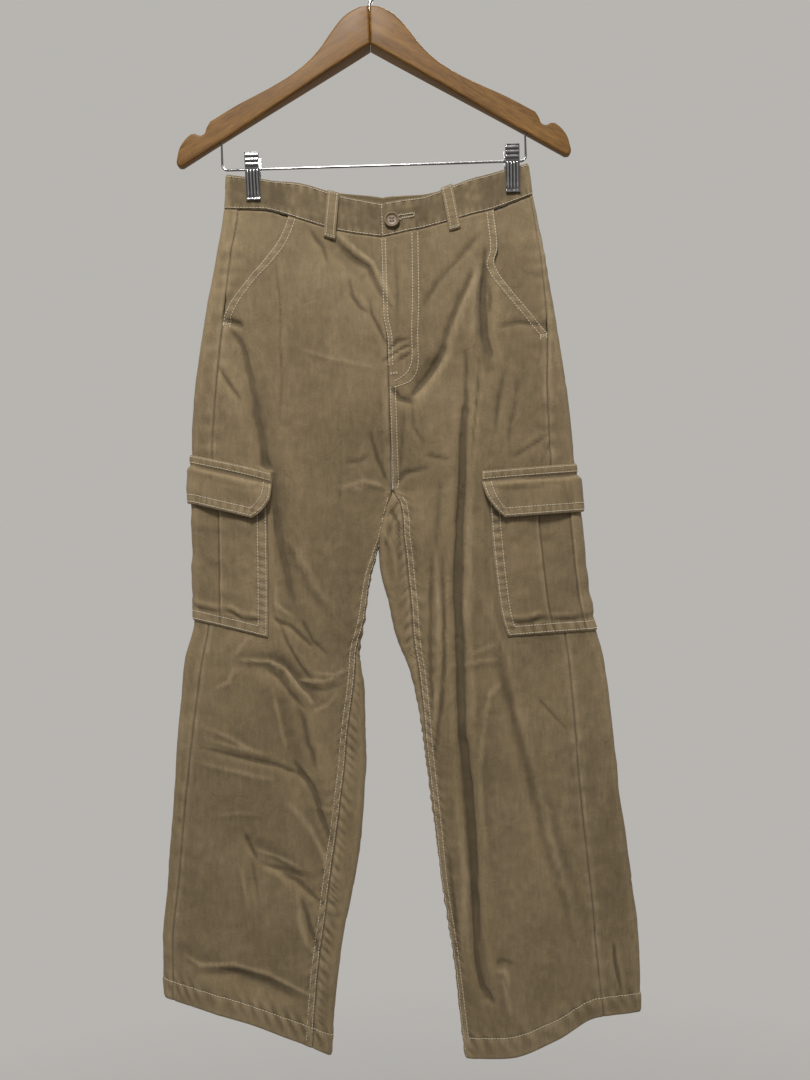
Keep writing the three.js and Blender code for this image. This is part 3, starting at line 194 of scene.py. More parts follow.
# Smaller creases of the front: name, kind, height, width, path
CREASES = (
    ("crotch drag a", "trough", 1.6, 4, ((9, -600), (24, -585), (48, -580))),
    ("crotch drag b", "trough", 1.8, 4, ((6, -596), (-6, -570), (-12, -540))),
    ("crotch drag c", "ridge", 1.2, 4, ((2, -600), (-22, -592), (-48, -600))),
    ("crotch fan a", "trough", 1.5, 4, ((4, -622), (14, -640), (16, -664))),
    ("crotch fan b", "ridge", 1.3, 4, ((-2, -650), (8, -668), (10, -700))),
    ("crotch fan c", "trough", 1.5, 4, ((18, -612), (6, -628), (-3, -634))),
    ("fly foot", "trough", 2.2, 4, ((8, -452), (20, -440), (34, -438))),
    ("fly foot lip", "ridge", 1.6, 4, ((10, -462), (22, -452), (34, -450))),
    ("hip press", "trough", 0.5, 1.6,
        ((-113, -347), (-109, -390), (-110, -434), (-110, -478), (-113, -523))),
    ("centre press", "trough", 0.5, 1.6, ((-47, -514), (-47, -558), (-49, -610))),
    ("loop drag", "step", 2.0, 7, ((-44, -320), (-27, -339), (-8, -354), (3, -377), (13, -396))),
    ("loop drag low", "trough", 1.3, 4, ((-31, -368), (-28, -387), (-20, -401), (-12, -407))),
    ("fly drag", "trough", 1.5, 3.5, ((-9, -393), (-7, -410), (1, -426), (9, -443))),
    ("slant drag", "trough", 1.6, 6, ((-75, -308), (-60, -330), (-54, -349))),
    ("slant end pit", "trough", 3.0, 5, ((-173, -407), (-162, -410), (-153, -414))),
    ("hip hollow", "trough", 2.2, 6, ((-167, -416), (-154, -435), (-148, -462), (-143, -491))),
    ("hip hollow low", "trough", 2.6, 9, ((-143, -491), (-137, -527), (-132, -561), (-126, -589))),
    ("hip side", "trough", 1.4, 5, ((-181, -459), (-169, -479), (-156, -497))),
    ("thigh light", "ridge", 0.5, 4, ((-87, -445), (-55, -456), (-6, -468))),
    ("thigh dent a", "trough", 0.8, 4, ((-42, -571), (-26, -570), (-17, -564))),
    ("thigh dent b", "ridge", 0.7, 4, ((-38, -601), (-27, -601), (-17, -592))),
    ("fly fold", "trough", 3.0, 3.6, ((72, -447), (64, -462), (53, -478), (41, -492), (33, -501))),
    ("fly fold lip", "ridge", 1.3, 5, ((80, -451), (70, -468), (55, -488))),
    ("ray a", "trough", 1.8, 8, ((113, -321), (90, -349), (65, -377), (51, -399))),
    ("ray b", "trough", 1.8, 6, ((105, -365), (88, -398), (76, -427), (69, -451))),
    ("ray b lip", "ridge", 1.2, 6, ((114, -363), (97, -398), (85, -427), (78, -451))),
    ("slant fold", "trough", 3.4, 4.5, ((122, -339), (118, -375), (117, -408), (118, -436), (123, -456))),
    ("slant fold side", "trough", 1.2, 3, ((124, -380), (125, -395), (123, -410))),
    ("slant fold lip", "ridge", 1.2, 6, ((111, -354), (106, -396), (105, -435))),
    ("thigh long a", "trough", 1.6, 5, ((96, -454), (94, -507), (89, -551), (87, -584))),
    ("thigh long b", "trough", 0.8, 2.5, ((111, -463), (106, -507), (100, -551), (96, -593))),
    ("under fly", "trough", 2.6, 5, ((13, -492), (21, -503), (34, -507))),
    ("fly foot a", "trough", 2.4, 3.6, ((4, -461), (20, -452), (37, -442))),
    ("fly foot b", "trough", 1.2, 3, ((20, -462), (31, -455), (40, -444))),
    ("hip wrinkle a", "trough", 1.2, 5, ((132, -426), (156, -420), (184, -424))),
    ("hip wrinkle b", "trough", 0.9, 4, ((145, -571), (172, -555), (188, -545))),
    ("hip wrinkle c", "trough", 0.8, 3.5, ((177, -576), (184, -565), (190, -554))),
    ("crotch line a", "trough", 0.8, 4, ((34, -505), (36, -536), (46, -555))),
    ("crotch line b", "trough", 0.7, 3, ((26, -514), (22, -549), (18, -586))),
    ("short line", "trough", 0.7, 3.5, ((48, -566), (61, -569), (74, -571))),
    ("thigh trough", "trough", 2.6, 9,
        ((-134, -551), (-130, -584), (-125, -616), (-118, -655), (-111, -694), (-106, -729))),
    ("thigh trough lip", "ridge", 1.0, 8, ((-146, -610), (-140, -655), (-132, -699), (-122, -735))),
    ("thigh plane", "step", 0.9, 10, ((-108, -661), (-87, -703), (-64, -737))),
    ("knee crease", "trough", 1.8, 3, ((-137, -734), (-122, -745), (-109, -751), (-98, -762), (-86, -774))),
    ("knee lip", "ridge", 1.0, 4, ((-128, -726), (-115, -735), (-106, -742))),
    ("knee ridge", "ridge", 2.3, 4.5,
        ((-165, -787), (-134, -790), (-117, -799), (-103, -820), (-87, -838))),
    ("knee ridge under", "trough", 1.6, 5, ((-135, -798), (-122, -807), (-109, -827), (-94, -844))),
    ("knee rib a", "ridge", 1.6, 3.6, ((-100, -812), (-75, -815), (-60, -811))),
    ("knee rib b", "ridge", 1.2, 3.4, ((-84, -805), (-62, -808), (-41, -801))),
    ("knee rib under", "trough", 1.0, 4, ((-96, -822), (-73, -824), (-53, -818))),
    ("knee rib c", "ridge", 0.9, 4, ((-85, -847), (-70, -841), (-60, -829))),
    ("knee diagonal a", "trough", 1.4, 4, ((-121, -746), (-111, -772), (-99, -796), (-87, -812))),
    ("knee diagonal b", "trough", 1.2, 4, ((-95, -747), (-85, -769), (-68, -784))),
    ("calf rib", "ridge", 1.1, 5, ((-130, -821), (-124, -855), (-118, -890))),
    ("calf hollow", "trough", 2.4, 9, ((-105, -833), (-97, -858), (-92, -887), (-87, -911))),
    ("side crumple a", "ridge", 0.8, 4, ((-195, -819), (-179, -811), (-173, -795))),
    ("side crumple b", "ridge", 0.7, 4, ((-173, -783), (-160, -768), (-149, -758))),
    ("shin ray a", "ridge", 0.9, 5, ((-208, -862), (-179, -873), (-151, -889))),
    ("shin ray b", "trough", 1.3, 3.6,
        ((-213, -884), (-169, -894), (-127, -904), (-105, -915), (-90, -930))),
    ("shin ray b lip", "ridge", 0.9, 5, ((-208, -874), (-168, -885), (-129, -895))),
    ("shin ray c", "ridge", 0.8, 5, ((-218, -900), (-174, -910), (-132, -920))),
    ("calf crease a", "trough", 2.2, 3.6, ((-108, -903), (-99, -919), (-89, -937))),
    ("calf crease b", "trough", 2.8, 5, ((-89, -933), (-85, -953), (-77, -978), (-70, -998))),
    ("calf crease lip", "ridge", 1.6, 7, ((-114, -949), (-94, -977), (-80, -1009), (-73, -1036))),
    ("calf short", "ridge", 0.9, 3.6, ((-89, -954), (-80, -958), (-69, -959))),
    ("shin short", "ridge", 0.7, 4, ((-195, -959), (-171, -956), (-146, -959))),
    ("shin star a", "trough", 1.2, 3.6, ((-165, -980), (-159, -995), (-153, -1007))),
    ("shin star b", "ridge", 1.3, 4, ((-154, -997), (-128, -1007), (-105, -1021))),
    ("shin star c", "trough", 1.7, 3, ((-148, -1011), (-124, -1021), (-103, -1029))),
    ("shin star d", "trough", 1.6, 4, ((-124, -1025), (-108, -1035), (-96, -1048), (-82, -1062))),
    ("shin star e", "ridge", 0.9, 4, ((-144, -1018), (-129, -1027), (-118, -1039))),
    ("shin upright a", "ridge", 0.7, 5, ((-172, -1013), (-168, -1037), (-164, -1059))),
    ("shin upright b", "trough", 0.7, 4, ((-159, -1009), (-155, -1031), (-153, -1055))),
    ("ankle ridge", "ridge", 1.5, 6, ((-110, -1050), (-107, -1082), (-102, -1103), (-93, -1116))),
    ("ankle crease", "trough", 1.9, 4, ((-104, -1055), (-98, -1082), (-91, -1105), (-86, -1124))),
    ("hem ridge", "ridge", 1.5, 4.5,
        ((-235, -1114), (-219, -1123), (-180, -1121), (-143, -1133), (-113, -1153), (-93, -1165))),
    ("hem hollow", "trough", 1.1, 6, ((-225, -1131), (-181, -1130), (-146, -1143), (-115, -1162))),
    ("main crease top", "trough", 3.6, 4.2,
        ((89, -547), (87, -595), (83, -639), (79, -684), (77, -728), (78, -772))),
    ("main crease low", "trough", 4.2, 4.5,
        ((78, -772), (78, -839), (79, -883), (84, -939), (87, -1016), (87, -1083), (87, -1133),
         (92, -1160), (103, -1173))),
    ("main crease lip", "ridge", 1.5, 6, ((97, -585), (92, -662), (88, -728), (89, -795), (92, -861))),
    ("pocket of light", "ridge", 1.6, 5, ((56, -674), (57, -727), (56, -794), (51, -843), (47, -880))),
    ("light edge left", "trough", 1.2, 3.4, ((50, -683), (47, -749), (45, -816), (47, -840))),
    ("light edge right", "trough", 1.2, 3.4, ((63, -683), (62, -750), (60, -816), (54, -860), (47, -904))),
    ("thigh soft", "trough", 1.0, 7, ((63, -592), (59, -628), (56, -666))),
    ("knee curl", "ridge", 0.8, 4, ((56, -829), (66, -807), (77, -800))),
    ("knee rung a", "ridge", 0.8, 3.6, ((82, -803), (100, -797), (121, -796))),
    ("knee rung b", "ridge", 0.6, 4, ((89, -789), (105, -784), (119, -778))),
    ("knee fan", "ridge", 1.2, 5, ((122, -823), (110, -835), (103, -864))),
    ("shin upright", "ridge", 1.1, 5, ((103, -864), (97, -911), (96, -961), (100, -1003))),
    ("shin plane", "step", 1.1, 11,
        ((127, -790), (132, -829), (142, -876), (157, -941), (171, -1008), (186, -1055), (196, -1103))),
    ("side line", "trough", 0.7, 3, ((165, -841), (180, -859), (195, -875))),
    ("low ridge", "ridge", 1.3, 7, ((70, -949), (76, -994), (77, -1049), (74, -1105), (74, -1149))),
    ("low hollow", "trough", 1.3, 5, ((60, -1015), (64, -1082), (65, -1143), (67, -1176))),
    ("hem dent", "trough", 1.3, 5, ((107, -1132), (116, -1128), (127, -1131))),
    ("hem dent lip", "ridge", 1.1, 5, ((108, -1141), (117, -1139), (120, -1153))),
    ("hem upright", "ridge", 0.7, 5, ((114, -1146), (119, -1167), (121, -1190))),
    ("hem corner", "trough", 1.9, 3.4, ((239, -1115), (241, -1137), (246, -1168))),
    ("seat show a", "trough", 1.3, 5, ((14, -621), (4, -646), (-2, -668))),
    ("seat show b", "trough", 1.0, 4, ((2, -597), (10, -604), (15, -612))),
    ("rise drag", "trough", 0.9, 5, ((20, -338), (22, -383), (20, -427))),
    ("right hip soft", "trough", 1.3, 7, ((138, -475), (131, -508), (126, -541))),
    ("right hip soft b", "trough", 1.0, 7, ((154, -487), (147, -520), (139, -553))),
)
# Smaller creases of the back, in the same columns
BACK_CREASES = (
    ("seat drag a", "trough", 1.1, 6, ((-6, -566), (-40, -536), (-86, -524))),
    ("seat drag b", "trough", 0.9, 6, ((26, -548), (58, -524), (92, -516))),
    ("seat drag c", "ridge", 0.7, 6, ((30, -590), (62, -560), (112, -552))),
    ("under seat a", "trough", 1.3, 7, ((-10, -636), (-52, -616), (-98, -628))),
    ("under seat b", "trough", 1.2, 6, ((24, -652), (70, -628), (132, -634))),
    ("band drag a", "trough", 0.9, 8, ((-60, -310), (-48, -345), (-40, -392))),
    ("band drag b", "step", 1.0, 7, ((92, -312), (84, -350), (86, -380))),
    ("thigh line a", "trough", 1.0, 6, ((-92, -690), (-104, -760), (-108, -826))),
    ("thigh line b", "step", 1.5, 7, ((112, -650), (108, -730), (120, -838), (124, -940))),
    ("knee rung c", "ridge", 1.2, 5, ((-56, -786), (-96, -806), (-138, -804))),
    ("knee rung d", "trough", 1.1, 5, ((-70, -820), (-114, -846), (-168, -838))),
    ("knee rung e", "ridge", 1.3, 5, ((74, -846), (116, -852), (164, -828))),
    ("knee rung f", "trough", 1.2, 5, ((92, -884), (128, -890), (188, -868))),
    ("knee rung g", "step", 1.2, 6, ((-170, -872), (-132, -880), (-96, -906))),
    ("calf drag a", "ridge", 1.1, 5, ((-160, -942), (-128, -960), (-100, -1000))),
    ("calf drag b", "trough", 1.0, 5, ((-186, -1010), (-150, -1026), (-122, -1058))),
    ("calf drag c", "ridge", 1.1, 6, ((124, -964), (146, -996), (190, -1018))),
    ("calf drag d", "step", 1.4, 6, ((118, -1040), (150, -1062), (200, -1070))),
    ("hem line a", "ridge", 1.0, 6, ((-226, -1126), (-180, -1120), (-138, -1142))),
    ("hem line b", "ridge", 1.1, 6, ((120, -1170), (160, -1150), (206, -1152))),
    ("shin line a", "ridge", 0.8, 7, ((-196, -900), (-190, -980), (-198, -1060))),
)


def mix(a, b, t):
    return a + (b - a) * t


def smooth_step(low, high, value):
    t = np.clip((value - low) / (high - low), 0, 1)
    return t * t * (3 - 2 * t)


def bump_at(value, width):
    return np.exp(-((value / width) ** 2))


def curve_through(xs, ys, x):
    """Smooth interpolation through points that keeps between neighbours, at any array of places."""
    xs, ys = np.asarray(xs, float), np.asarray(ys, float)
    slope = np.diff(ys) / np.diff(xs)
    before, after = slope[:-1], slope[1:]
    both = before * after
    inside = np.where(both > 0, 2 * both / np.where(both > 0, before + after, 1), 0)
    tangent = np.concatenate([slope[:1], inside, slope[-1:]])
    x = np.clip(x, xs[0], xs[-1])
    i = np.clip(np.searchsorted(xs, x, side="right") - 1, 0, len(xs) - 2)
    step = xs[i + 1] - xs[i]
    t = (x - xs[i]) / step
    rise = t * (1 - t) ** 2 * step * tangent[i]
    fall = t * t * (1 - t) * step * tangent[i + 1]
    return mix(ys[i], ys[i + 1], t * t * (3 - 2 * t)) + rise - fall


def column(table, index, z):
    """One column of a table whose rows go down from the top, at heights z."""
    return curve_through([-row[0] for row in table], [row[index] for row in table], -np.asarray(z, float))


def through_quarters(values, t):
    """The same interpolation through five values, a quarter apart, which differ from place to place."""
    slope = np.diff(values, axis=-1) * 4
    before, after = slope[..., :-1], slope[..., 1:]
    both = before * after
    inside = np.where(both > 0, 2 * both / np.where(both > 0, before + after, 1), 0)
    tangent = np.concatenate([slope[..., :1], inside, slope[..., -1:]], -1)
    t = np.clip(t, 0, 1)
    shape = np.broadcast_shapes(t.shape, values.shape[:-1])
    i = np.broadcast_to(np.minimum((t * 4).astype(int), 3), shape)

    def pick(table, k):
        wide = np.broadcast_to(table, shape + table.shape[-1:])
        return np.take_along_axis(wide, k[..., None], -1)[..., 0]

    u = t * 4 - i
    rise = u * (1 - u) ** 2 * pick(tangent, i) / 4
    fall = u * u * (1 - u) * pick(tangent, i + 1) / 4
    return mix(pick(values, i), pick(values, i + 1), u * u * (3 - 2 * u)) + rise - fall


class Layer:
    """Sizes of the front or back layer of a section."""


class Section:
    """Cross-sections of one half of the garment along the rows of cloth that start at row_z."""

    def __init__(self, half, row_z):
        self.half = half
        self.row_z = np.asarray(row_z, float)
        table = SAG[half]
        sags = [column(table, index, self.row_z) for index in (1, 2, 3, 4)]
        self.sag = np.stack([np.zeros_like(self.row_z)] + sags, -1)
        outer_z = self.row_z + sags[3]
        self.outer = column(OUTLINE[half], 1, outer_z)
        self.outseam = column(OUTLINE[half], 2, outer_z)
        self.in_leg = self.row_z < CROTCH_Z
        self.inner = np.where(self.in_leg, column(INSIDE[half], 1, self.row_z), CENTRE_X)
        self.inseam = np.where(self.in_leg, column(INSIDE[half], 2, self.row_z), 0)
        self.width = np.abs(self.outer - self.inner)
        self.direction = 1 if half == "right" else -1
        self.lean = column(BULGE, 3, self.row_z)
        closing = 0.5 * smooth_step(0, CLOSING_HEIGHT, self.row_z - CROTCH_Z)
        curve = np.clip((CROTCH_Z + CROTCH_CURVE - self.row_z) / CROTCH_CURVE, 0, 1)
        start = np.where(self.in_leg, 0, np.arccos(curve))
        self.front = self.layer(1, closing, start)
        self.back = self.layer(2, closing, start)

    def layer(self, index, closing, start):
        part = Layer()
        part.bulge = column(BULGE, index, self.row_z)
        span = math.pi * (1 - closing)
        part.closing, part.start = closing, start
        part.outer_angle = math.pi / 2 - np.arctan(part.bulge * span / self.width)
        limit = math.pi / 2 - np.arctan(part.bulge * span * np.cos(math.pi * closing) / self.width)
        part.inner_angle = np.maximum(start, limit)
        part.outer_reach = FOLD_RADIUS * (1 - np.cos(part.outer_angle))
        part.inner_reach = FOLD_RADIUS * (np.cos(start) - np.cos(part.inner_angle))
        part.outer_arc = FOLD_RADIUS * part.outer_angle
        part.face = self.width - part.outer_reach - part.inner_reach
        part.length = part.outer_arc + part.face + FOLD_RADIUS * (part.inner_angle - start)
        return part


def along_from_outer(section, distance):
    part = section.front
    near = FOLD_RADIUS * np.arccos(np.clip(1 - distance / FOLD_RADIUS, -1, 1))
    return np.where(distance < part.outer_reach, near, part.outer_arc + distance - part.outer_reach)


def along_from_inner(section, distance):
    part = section.front
    near = part.length - FOLD_RADIUS * np.arccos(np.clip(1 - distance / FOLD_RADIUS, -1, 1))
    far = part.length - FOLD_RADIUS * part.inner_angle - (distance - part.inner_reach)
    return np.where(distance < part.inner_reach, near, far)


def along_at_x(section, x, side):
    part = section.front if side > 0 else section.back
    return side * (part.outer_arc + np.abs(section.outer - x) - part.outer_reach)


def path_place(path, x, z):
    """Distance from a path, which side of it, and how far along it, for arrays of places."""
    nearest = np.full(x.shape, np.inf)
    signed = np.zeros(x.shape)
    along = np.zeros(x.shape)
    last = len(path) - 1
    for i in range(last):
        (ax, az), (bx, bz) = path[i], path[i + 1]
        dx, dz = bx - ax, bz - az
        t = np.clip(((x - ax) * dx + (z - az) * dz) / (dx * dx + dz * dz), 0, 1)
        ex, ez = x - mix(ax, bx, t), z - mix(az, bz, t)
        distance = np.hypot(ex, ez)
        closer = distance < nearest
        nearest = np.where(closer, distance, nearest)
        side = np.sign(dx * ez - dz * ex)
        signed = np.where(closer, side * distance, signed)
        along = np.where(closer, (i + t) / last, along)
    return nearest, signed, along


def fold_depth(side, x, z):
    depth = np.zeros(x.shape)
    for fold_side, size, width, path in FOLDS:
        nearest, _, along = path_place(path, x, z)
        ends = np.sqrt(np.maximum(np.sin(math.pi * mix(0.06, 0.94, along)), 0))
        depth += np.where(side == fold_side, size * ends * bump_at(nearest, width), 0)
    return depth


def pinch_at(x, z):
    pinch = np.zeros(x.shape)
    for clip_x in CLIP_X.values():
        across = smooth_step(PINCH_REACH, 0, np.abs(x - clip_x) - CLIP_WIDTH / 2 - PINCH_FLAT)
        down = smooth_step(PINCH_DROP, 0, CLIP_BOTTOM_Z - z)
        pinch = np.maximum(pinch, across * down)
    return pinch


def surface(section, along):
    """Points of the garment surface, with their side (1 front, -1 back) and depth from the fold line.

    along is 0 on the silhouette, positive on the front and negative on the back.
    """
    front, back = section.front, section.back
    a = np.asarray(along, float)
    girth = front.length + back.length
    a = np.where(section.in_leg & (a > front.length), a - girth, a)
    a = np.where(section.in_leg & (a < -back.length), a + girth, a)
    is_front = a >= 0

    def of(name):
        return np.where(is_front, getattr(front, name), getattr(back, name))

    arc = np.abs(a)
    names = ("outer_arc", "face", "inner_reach", "bulge")
    outer_arc, face, inner_reach, bulge = (of(name) for name in names)
    outer_angle, inner_angle, closing, start = (
        of(name) for name in ("outer_angle", "inner_angle", "closing", "start"))
    round_inner = section.width - FOLD_RADIUS * (1 - np.cos(arc / FOLD_RADIUS))
    round_depth = FOLD_RADIUS * np.sin(arc / FOLD_RADIUS)
    t = 1 - (arc - outer_arc) / face
    flat_inner = inner_reach + t * face
    swell = bulge * np.sin(math.pi * mix(closing, 1, t))
    flat_depth = FOLD_RADIUS * mix(np.sin(inner_angle), np.sin(outer_angle), t) + swell
    angle = np.maximum(inner_angle - (arc - outer_arc - face) / FOLD_RADIUS, start)
    beyond = np.maximum(arc - of("length"), 0)
    end_inner = FOLD_RADIUS * (np.cos(start) - np.cos(angle)) - beyond
    end_depth = FOLD_RADIUS * np.sin(angle) + bulge * np.sin(math.pi * closing)
    on_fold, on_face = arc < outer_arc, arc < outer_arc + face
    from_inner = np.where(on_fold, round_inner, np.where(on_face, flat_inner, end_inner))
    depth = np.where(on_fold, round_depth, np.where(on_face, flat_depth, end_depth))
    x = section.inner + section.direction * from_inner
    share = from_inner / section.width
    z = section.row_z + through_quarters(section.sag, share)
    back_rise = np.where(is_front, 0, smooth_step(0, 14, depth))
    fade = smooth_step(BACK_RISE_FADE, 0, WAIST_SEAM_Z - section.row_z)
    z = z + BACK_RISE * back_rise * fade * smooth_step(BACK_RISE_END, 0, share)
    side = np.where(is_front, 1, -1)
    inwards = fold_depth(side, x, z) * smooth_step(0, FOLD_RADIUS, depth)
    loose = np.maximum(depth - inwards, PINCH_HALF * smooth_step(0, FOLD_RADIUS, depth))
    edge = np.clip((section.outer - x) * section.direction / 4, 0, 1)
    off_line = mix(loose, PINCH_HALF * np.sqrt(edge), pinch_at(x, z))
    points = np.stack(np.broadcast_arrays(x, section.lean - side * off_line, z), -1)
    return points, side, depth


def surface_normal(section, along):
    reach = 1.2
    rows = section.row_z
    up_z = np.where((rows + reach < CROTCH_Z) == section.in_leg, rows + reach, rows)
    down_z = np.where((rows - reach < CROTCH_Z) == section.in_leg, rows - reach, rows)

    def shifted(row_z):
        other = Section(section.half, row_z)
        ratio_front = other.front.length / section.front.length
        ratio_back = other.back.length / section.back.length
        return surface(other, along * np.where(along >= 0, ratio_front, ratio_back))[0]

    upwards = shifted(up_z) - shifted(down_z)
    across = surface(section, along + reach)[0] - surface(section, along - reach)[0]
    normal = np.cross(across, upwards) * -section.direction
    normal /= np.linalg.norm(normal, axis=-1, keepdims=True)
    length = np.where(along >= 0, section.front.length, section.back.length)
    at_row = smooth_step(5, 0, np.abs(rows - CROTCH_Z))
    down = (at_row * smooth_step(9, 0, length - np.abs(along)))[..., None]
    normal = mix(normal, np.array((0.0, 0.0, -1.0)), down)
    return normal / np.linalg.norm(normal, axis=-1, keepdims=True)


def outseam_along(section):
    return along_from_outer(section, section.outseam)


def slant_along(section):
    edge = along_from_outer(section, column(SLANT[section.half], 1, section.row_z))
    seam = outseam_along(section)
    return np.where(section.row_z < SLANT_END_Z[section.half], seam, np.maximum(edge, seam))


def inseam_along(section):
    return np.where(section.in_leg, along_from_inner(section, section.inseam), section.front.length)


def lap_over(section):
    if section.half == "left":
        return np.zeros(section.row_z.shape)
    return LAP_OVER * smooth_step(LAP_OVER_END_Z, LAP_OVER_END_Z + 30, section.row_z)


def lap_lift(section, along):
    if section.half == "left":
        return np.zeros(np.broadcast_shapes(section.row_z.shape, np.shape(along)))
    fade = smooth_step(LAP_END_Z, LAP_TOP_Z, section.row_z)
    near = smooth_step(LAP_FADE, LAP_FULL, section.front.length - along)
    return np.where(along < 0, 0, LAP_LIFT * near * fade)


RNG = np.random.default_rng(7)
LATTICE = RNG.uniform(-1, 1, (64, 64))


def uneven(x, z, size):
    """Smooth unevenness from -1 to 1 whose lumps are about size across."""
    u, v = np.asarray(x) / size + 11.3, np.asarray(z) / size + 7.9
    i, j = np.floor(u).astype(int), np.floor(v).astype(int)
    s, t = u - i, v - j
    s, t = s * s * (3 - 2 * s), t * t * (3 - 2 * t)
    near = mix(LATTICE[i % 64, j % 64], LATTICE[(i + 1) % 64, j % 64], s)
    far = mix(LATTICE[i % 64, (j + 1) % 64], LATTICE[(i + 1) % 64, (j + 1) % 64], s)
    return mix(near, far, t)


CREASE_GAIN = 1.5
CREASE_WIDTH = 0.68


def crease_height(creases, x, z):
    height = np.zeros(x.shape)
    for _, kind, size, drawn_width, path in creases:
        width = CREASE_WIDTH * drawn_width
        wobble = 0.22 * width * uneven(x + 31 * size, z, 14)
        nearest, signed, along = path_place(path, x + wobble, z)
        ends = np.sqrt(np.maximum(np.sin(math.pi * mix(0.03, 0.97, along)), 0))
        strength = CREASE_GAIN * size * ends * (1 + 0.3 * uneven(x, z + 47 * width, 22))
        if kind == "step":
            height += strength * (signed / width) * 1.6 * bump_at(signed, width)
        else:
            tight = 0.35 * width
            sharp = np.exp(-(np.sqrt(nearest**2 + tight**2) - tight) / (0.75 * width))
            height += strength * sharp * (1 if kind == "ridge" else -1)
    return height


def under_pocket(section, along):
    """1 where a cargo pocket or its flap lies on the panel, fading to 0 just outside it."""
    half = section.half
    offset = along - along_from_outer(section, POCKET_CENTRE[half])
    beyond = np.maximum(np.abs(offset) - POCKET_HALF_WIDTH - 4, 0)
    top, bottom = POCKET_TOP_Z[half] + 1, POCKET_BOTTOM_Z[half]
    outside = np.maximum(np.maximum(section.row_z - top, bottom - section.row_z), beyond)
    return smooth_step(5, 0, outside)


def relief(section, along):
    """Height of the small creases and unevenness over the smooth surface."""
    points, side, depth = surface(section, along)
    x, z = points[..., 0], points[..., 2]
    in_front = crease_height(CREASES, x, z)
    behind = crease_height(BACK_CREASES, x, z)
    lumps = 0.8 * uneven(x + 90 * side, z, 46) + 0.5 * uneven(x * 1.4, z * 0.7 + 60 * side, 21)
    lumps = lumps + 0.2 * uneven(x + 15 * side, z, 8)
    height = np.where(side > 0, in_front, behind) * smooth_step(1, FOLD_RADIUS, depth) + lumps
    calm = (1 - pinch_at(x, z)) * (1 - under_pocket(section, along))
    return height * calm


# Ripples along seams: height, pitch along the seam, reach to each side, seed
PUCKERS = {
    "outseam": (0.5, 23.0, 14, 5), "rope": (0.85, 10.5, 5.5, 11),
    "rope under stitches": (0.8, 10.5, 5.0, 11),
    "inseam": (0.35, 21.0, 16, 13), "hem": (0.8, 15.0, 12, 3), "hem under stitches": (0.75, 15.0, 12, 3),
    "slant": (0.5, 9.0, 4.5, 17), "band foot": (0.4, 9.0, 7, 23), "band top": (0.4, 10.0, 7, 27),
    "loop": (0.16, 8.0, 5, 31), "pocket side": (0.7, 9.5, 5.5, 37), "pocket foot": (0.55, 10.5, 6, 41),
    "flap foot": (0.55, 10.0, 5.5, 43), "flap side": (0.5, 8.5, 5.5, 47), "flap band": (0.32, 8.5, 5, 51),
}


def pucker(kind, distance, run, seed=0):
    """Ripples of one kind across a seam: distance from it, run along it."""
    height, pitch, reach, own_seed = PUCKERS[kind]
    seed = own_seed + seed
    phase = run / pitch + 0.9 * uneven(run, np.full_like(run, 13.0 * seed), pitch * 2.7)
    strength = height * (0.65 + 0.35 * uneven(run, np.full_like(run, 29.0 * seed), pitch * 3.3))
    return strength * np.sin(2 * math.pi * phase) * bump_at(distance, reach)


def base_of(section, along):
    """Points of the smooth garment surface, and its outward normals."""
    return surface(section, along)[0], surface_normal(section, along)


def moved(base, normal, height):
    return base + normal * height[..., None]


def faces_of_grid(rows, columns, offset, turned):
    corner = offset + (np.arange(rows - 1)[:, None] * columns + np.arange(columns - 1)[None, :]).ravel()
    quads = np.stack([corner, corner + columns, corner + columns + 1, corner + 1], 1)
    return quads[:, ::-1] if turned else quads


def faces_between(first, second):
    """Quads that join two rows of points, end to end."""
    return np.stack([first[:-1], first[1:], second[1:], second[:-1]], 1)


def shell_faces(rows, columns):
    count = rows * columns
    index = np.arange(count).reshape(rows, columns)
    edges = (index[0], index[:, -1], index[-1, ::-1], index[::-1, 0])
    sides = [faces_between(edge, edge + count) for edge in edges]
    layers = [faces_of_grid(rows, columns, 0, False), faces_of_grid(rows, columns, count, True)]
    return np.concatenate(layers + sides)


def ring_walls(index):
    """Quads between neighbouring rings of points, whose numbers are rings by sides."""
    following = np.roll(index, -1, axis=-1)
    corners = (index[..., :-1, :], index[..., 1:, :], following[..., 1:, :], following[..., :-1, :])
    return np.stack(corners, -1).reshape(-1, 4)


def signed_volume(points, quads):
    a, b, c, d = (points[quads[:, k]] for k in range(4))
    first = np.einsum("ij,ij->i", a, np.cross(b, c))
    return float((first + np.einsum("ij,ij->i", a, np.cross(c, d))).sum())


def hollows(outer, outward, spread):
    """How far each point of a grid lies below those around it, in millimetres."""
    wide = np.array(outer, float)
    for _ in range(max(round(2 * (spread / FINE) ** 2), 1)):
        padded = np.pad(wide, ((1, 1), (1, 1), (0, 0)), mode="edge")
        wide = (padded[:-2, 1:-1] + padded[2:, 1:-1] + padded[1:-1, :-2] + padded[1:-1, 2:]) / 4
    wide[0], wide[-1], wide[:, 0], wide[:, -1] = outer[0], outer[-1], outer[:, 0], outer[:, -1]
    return np.einsum("ijk,ijk->ij", wide - outer, outward)


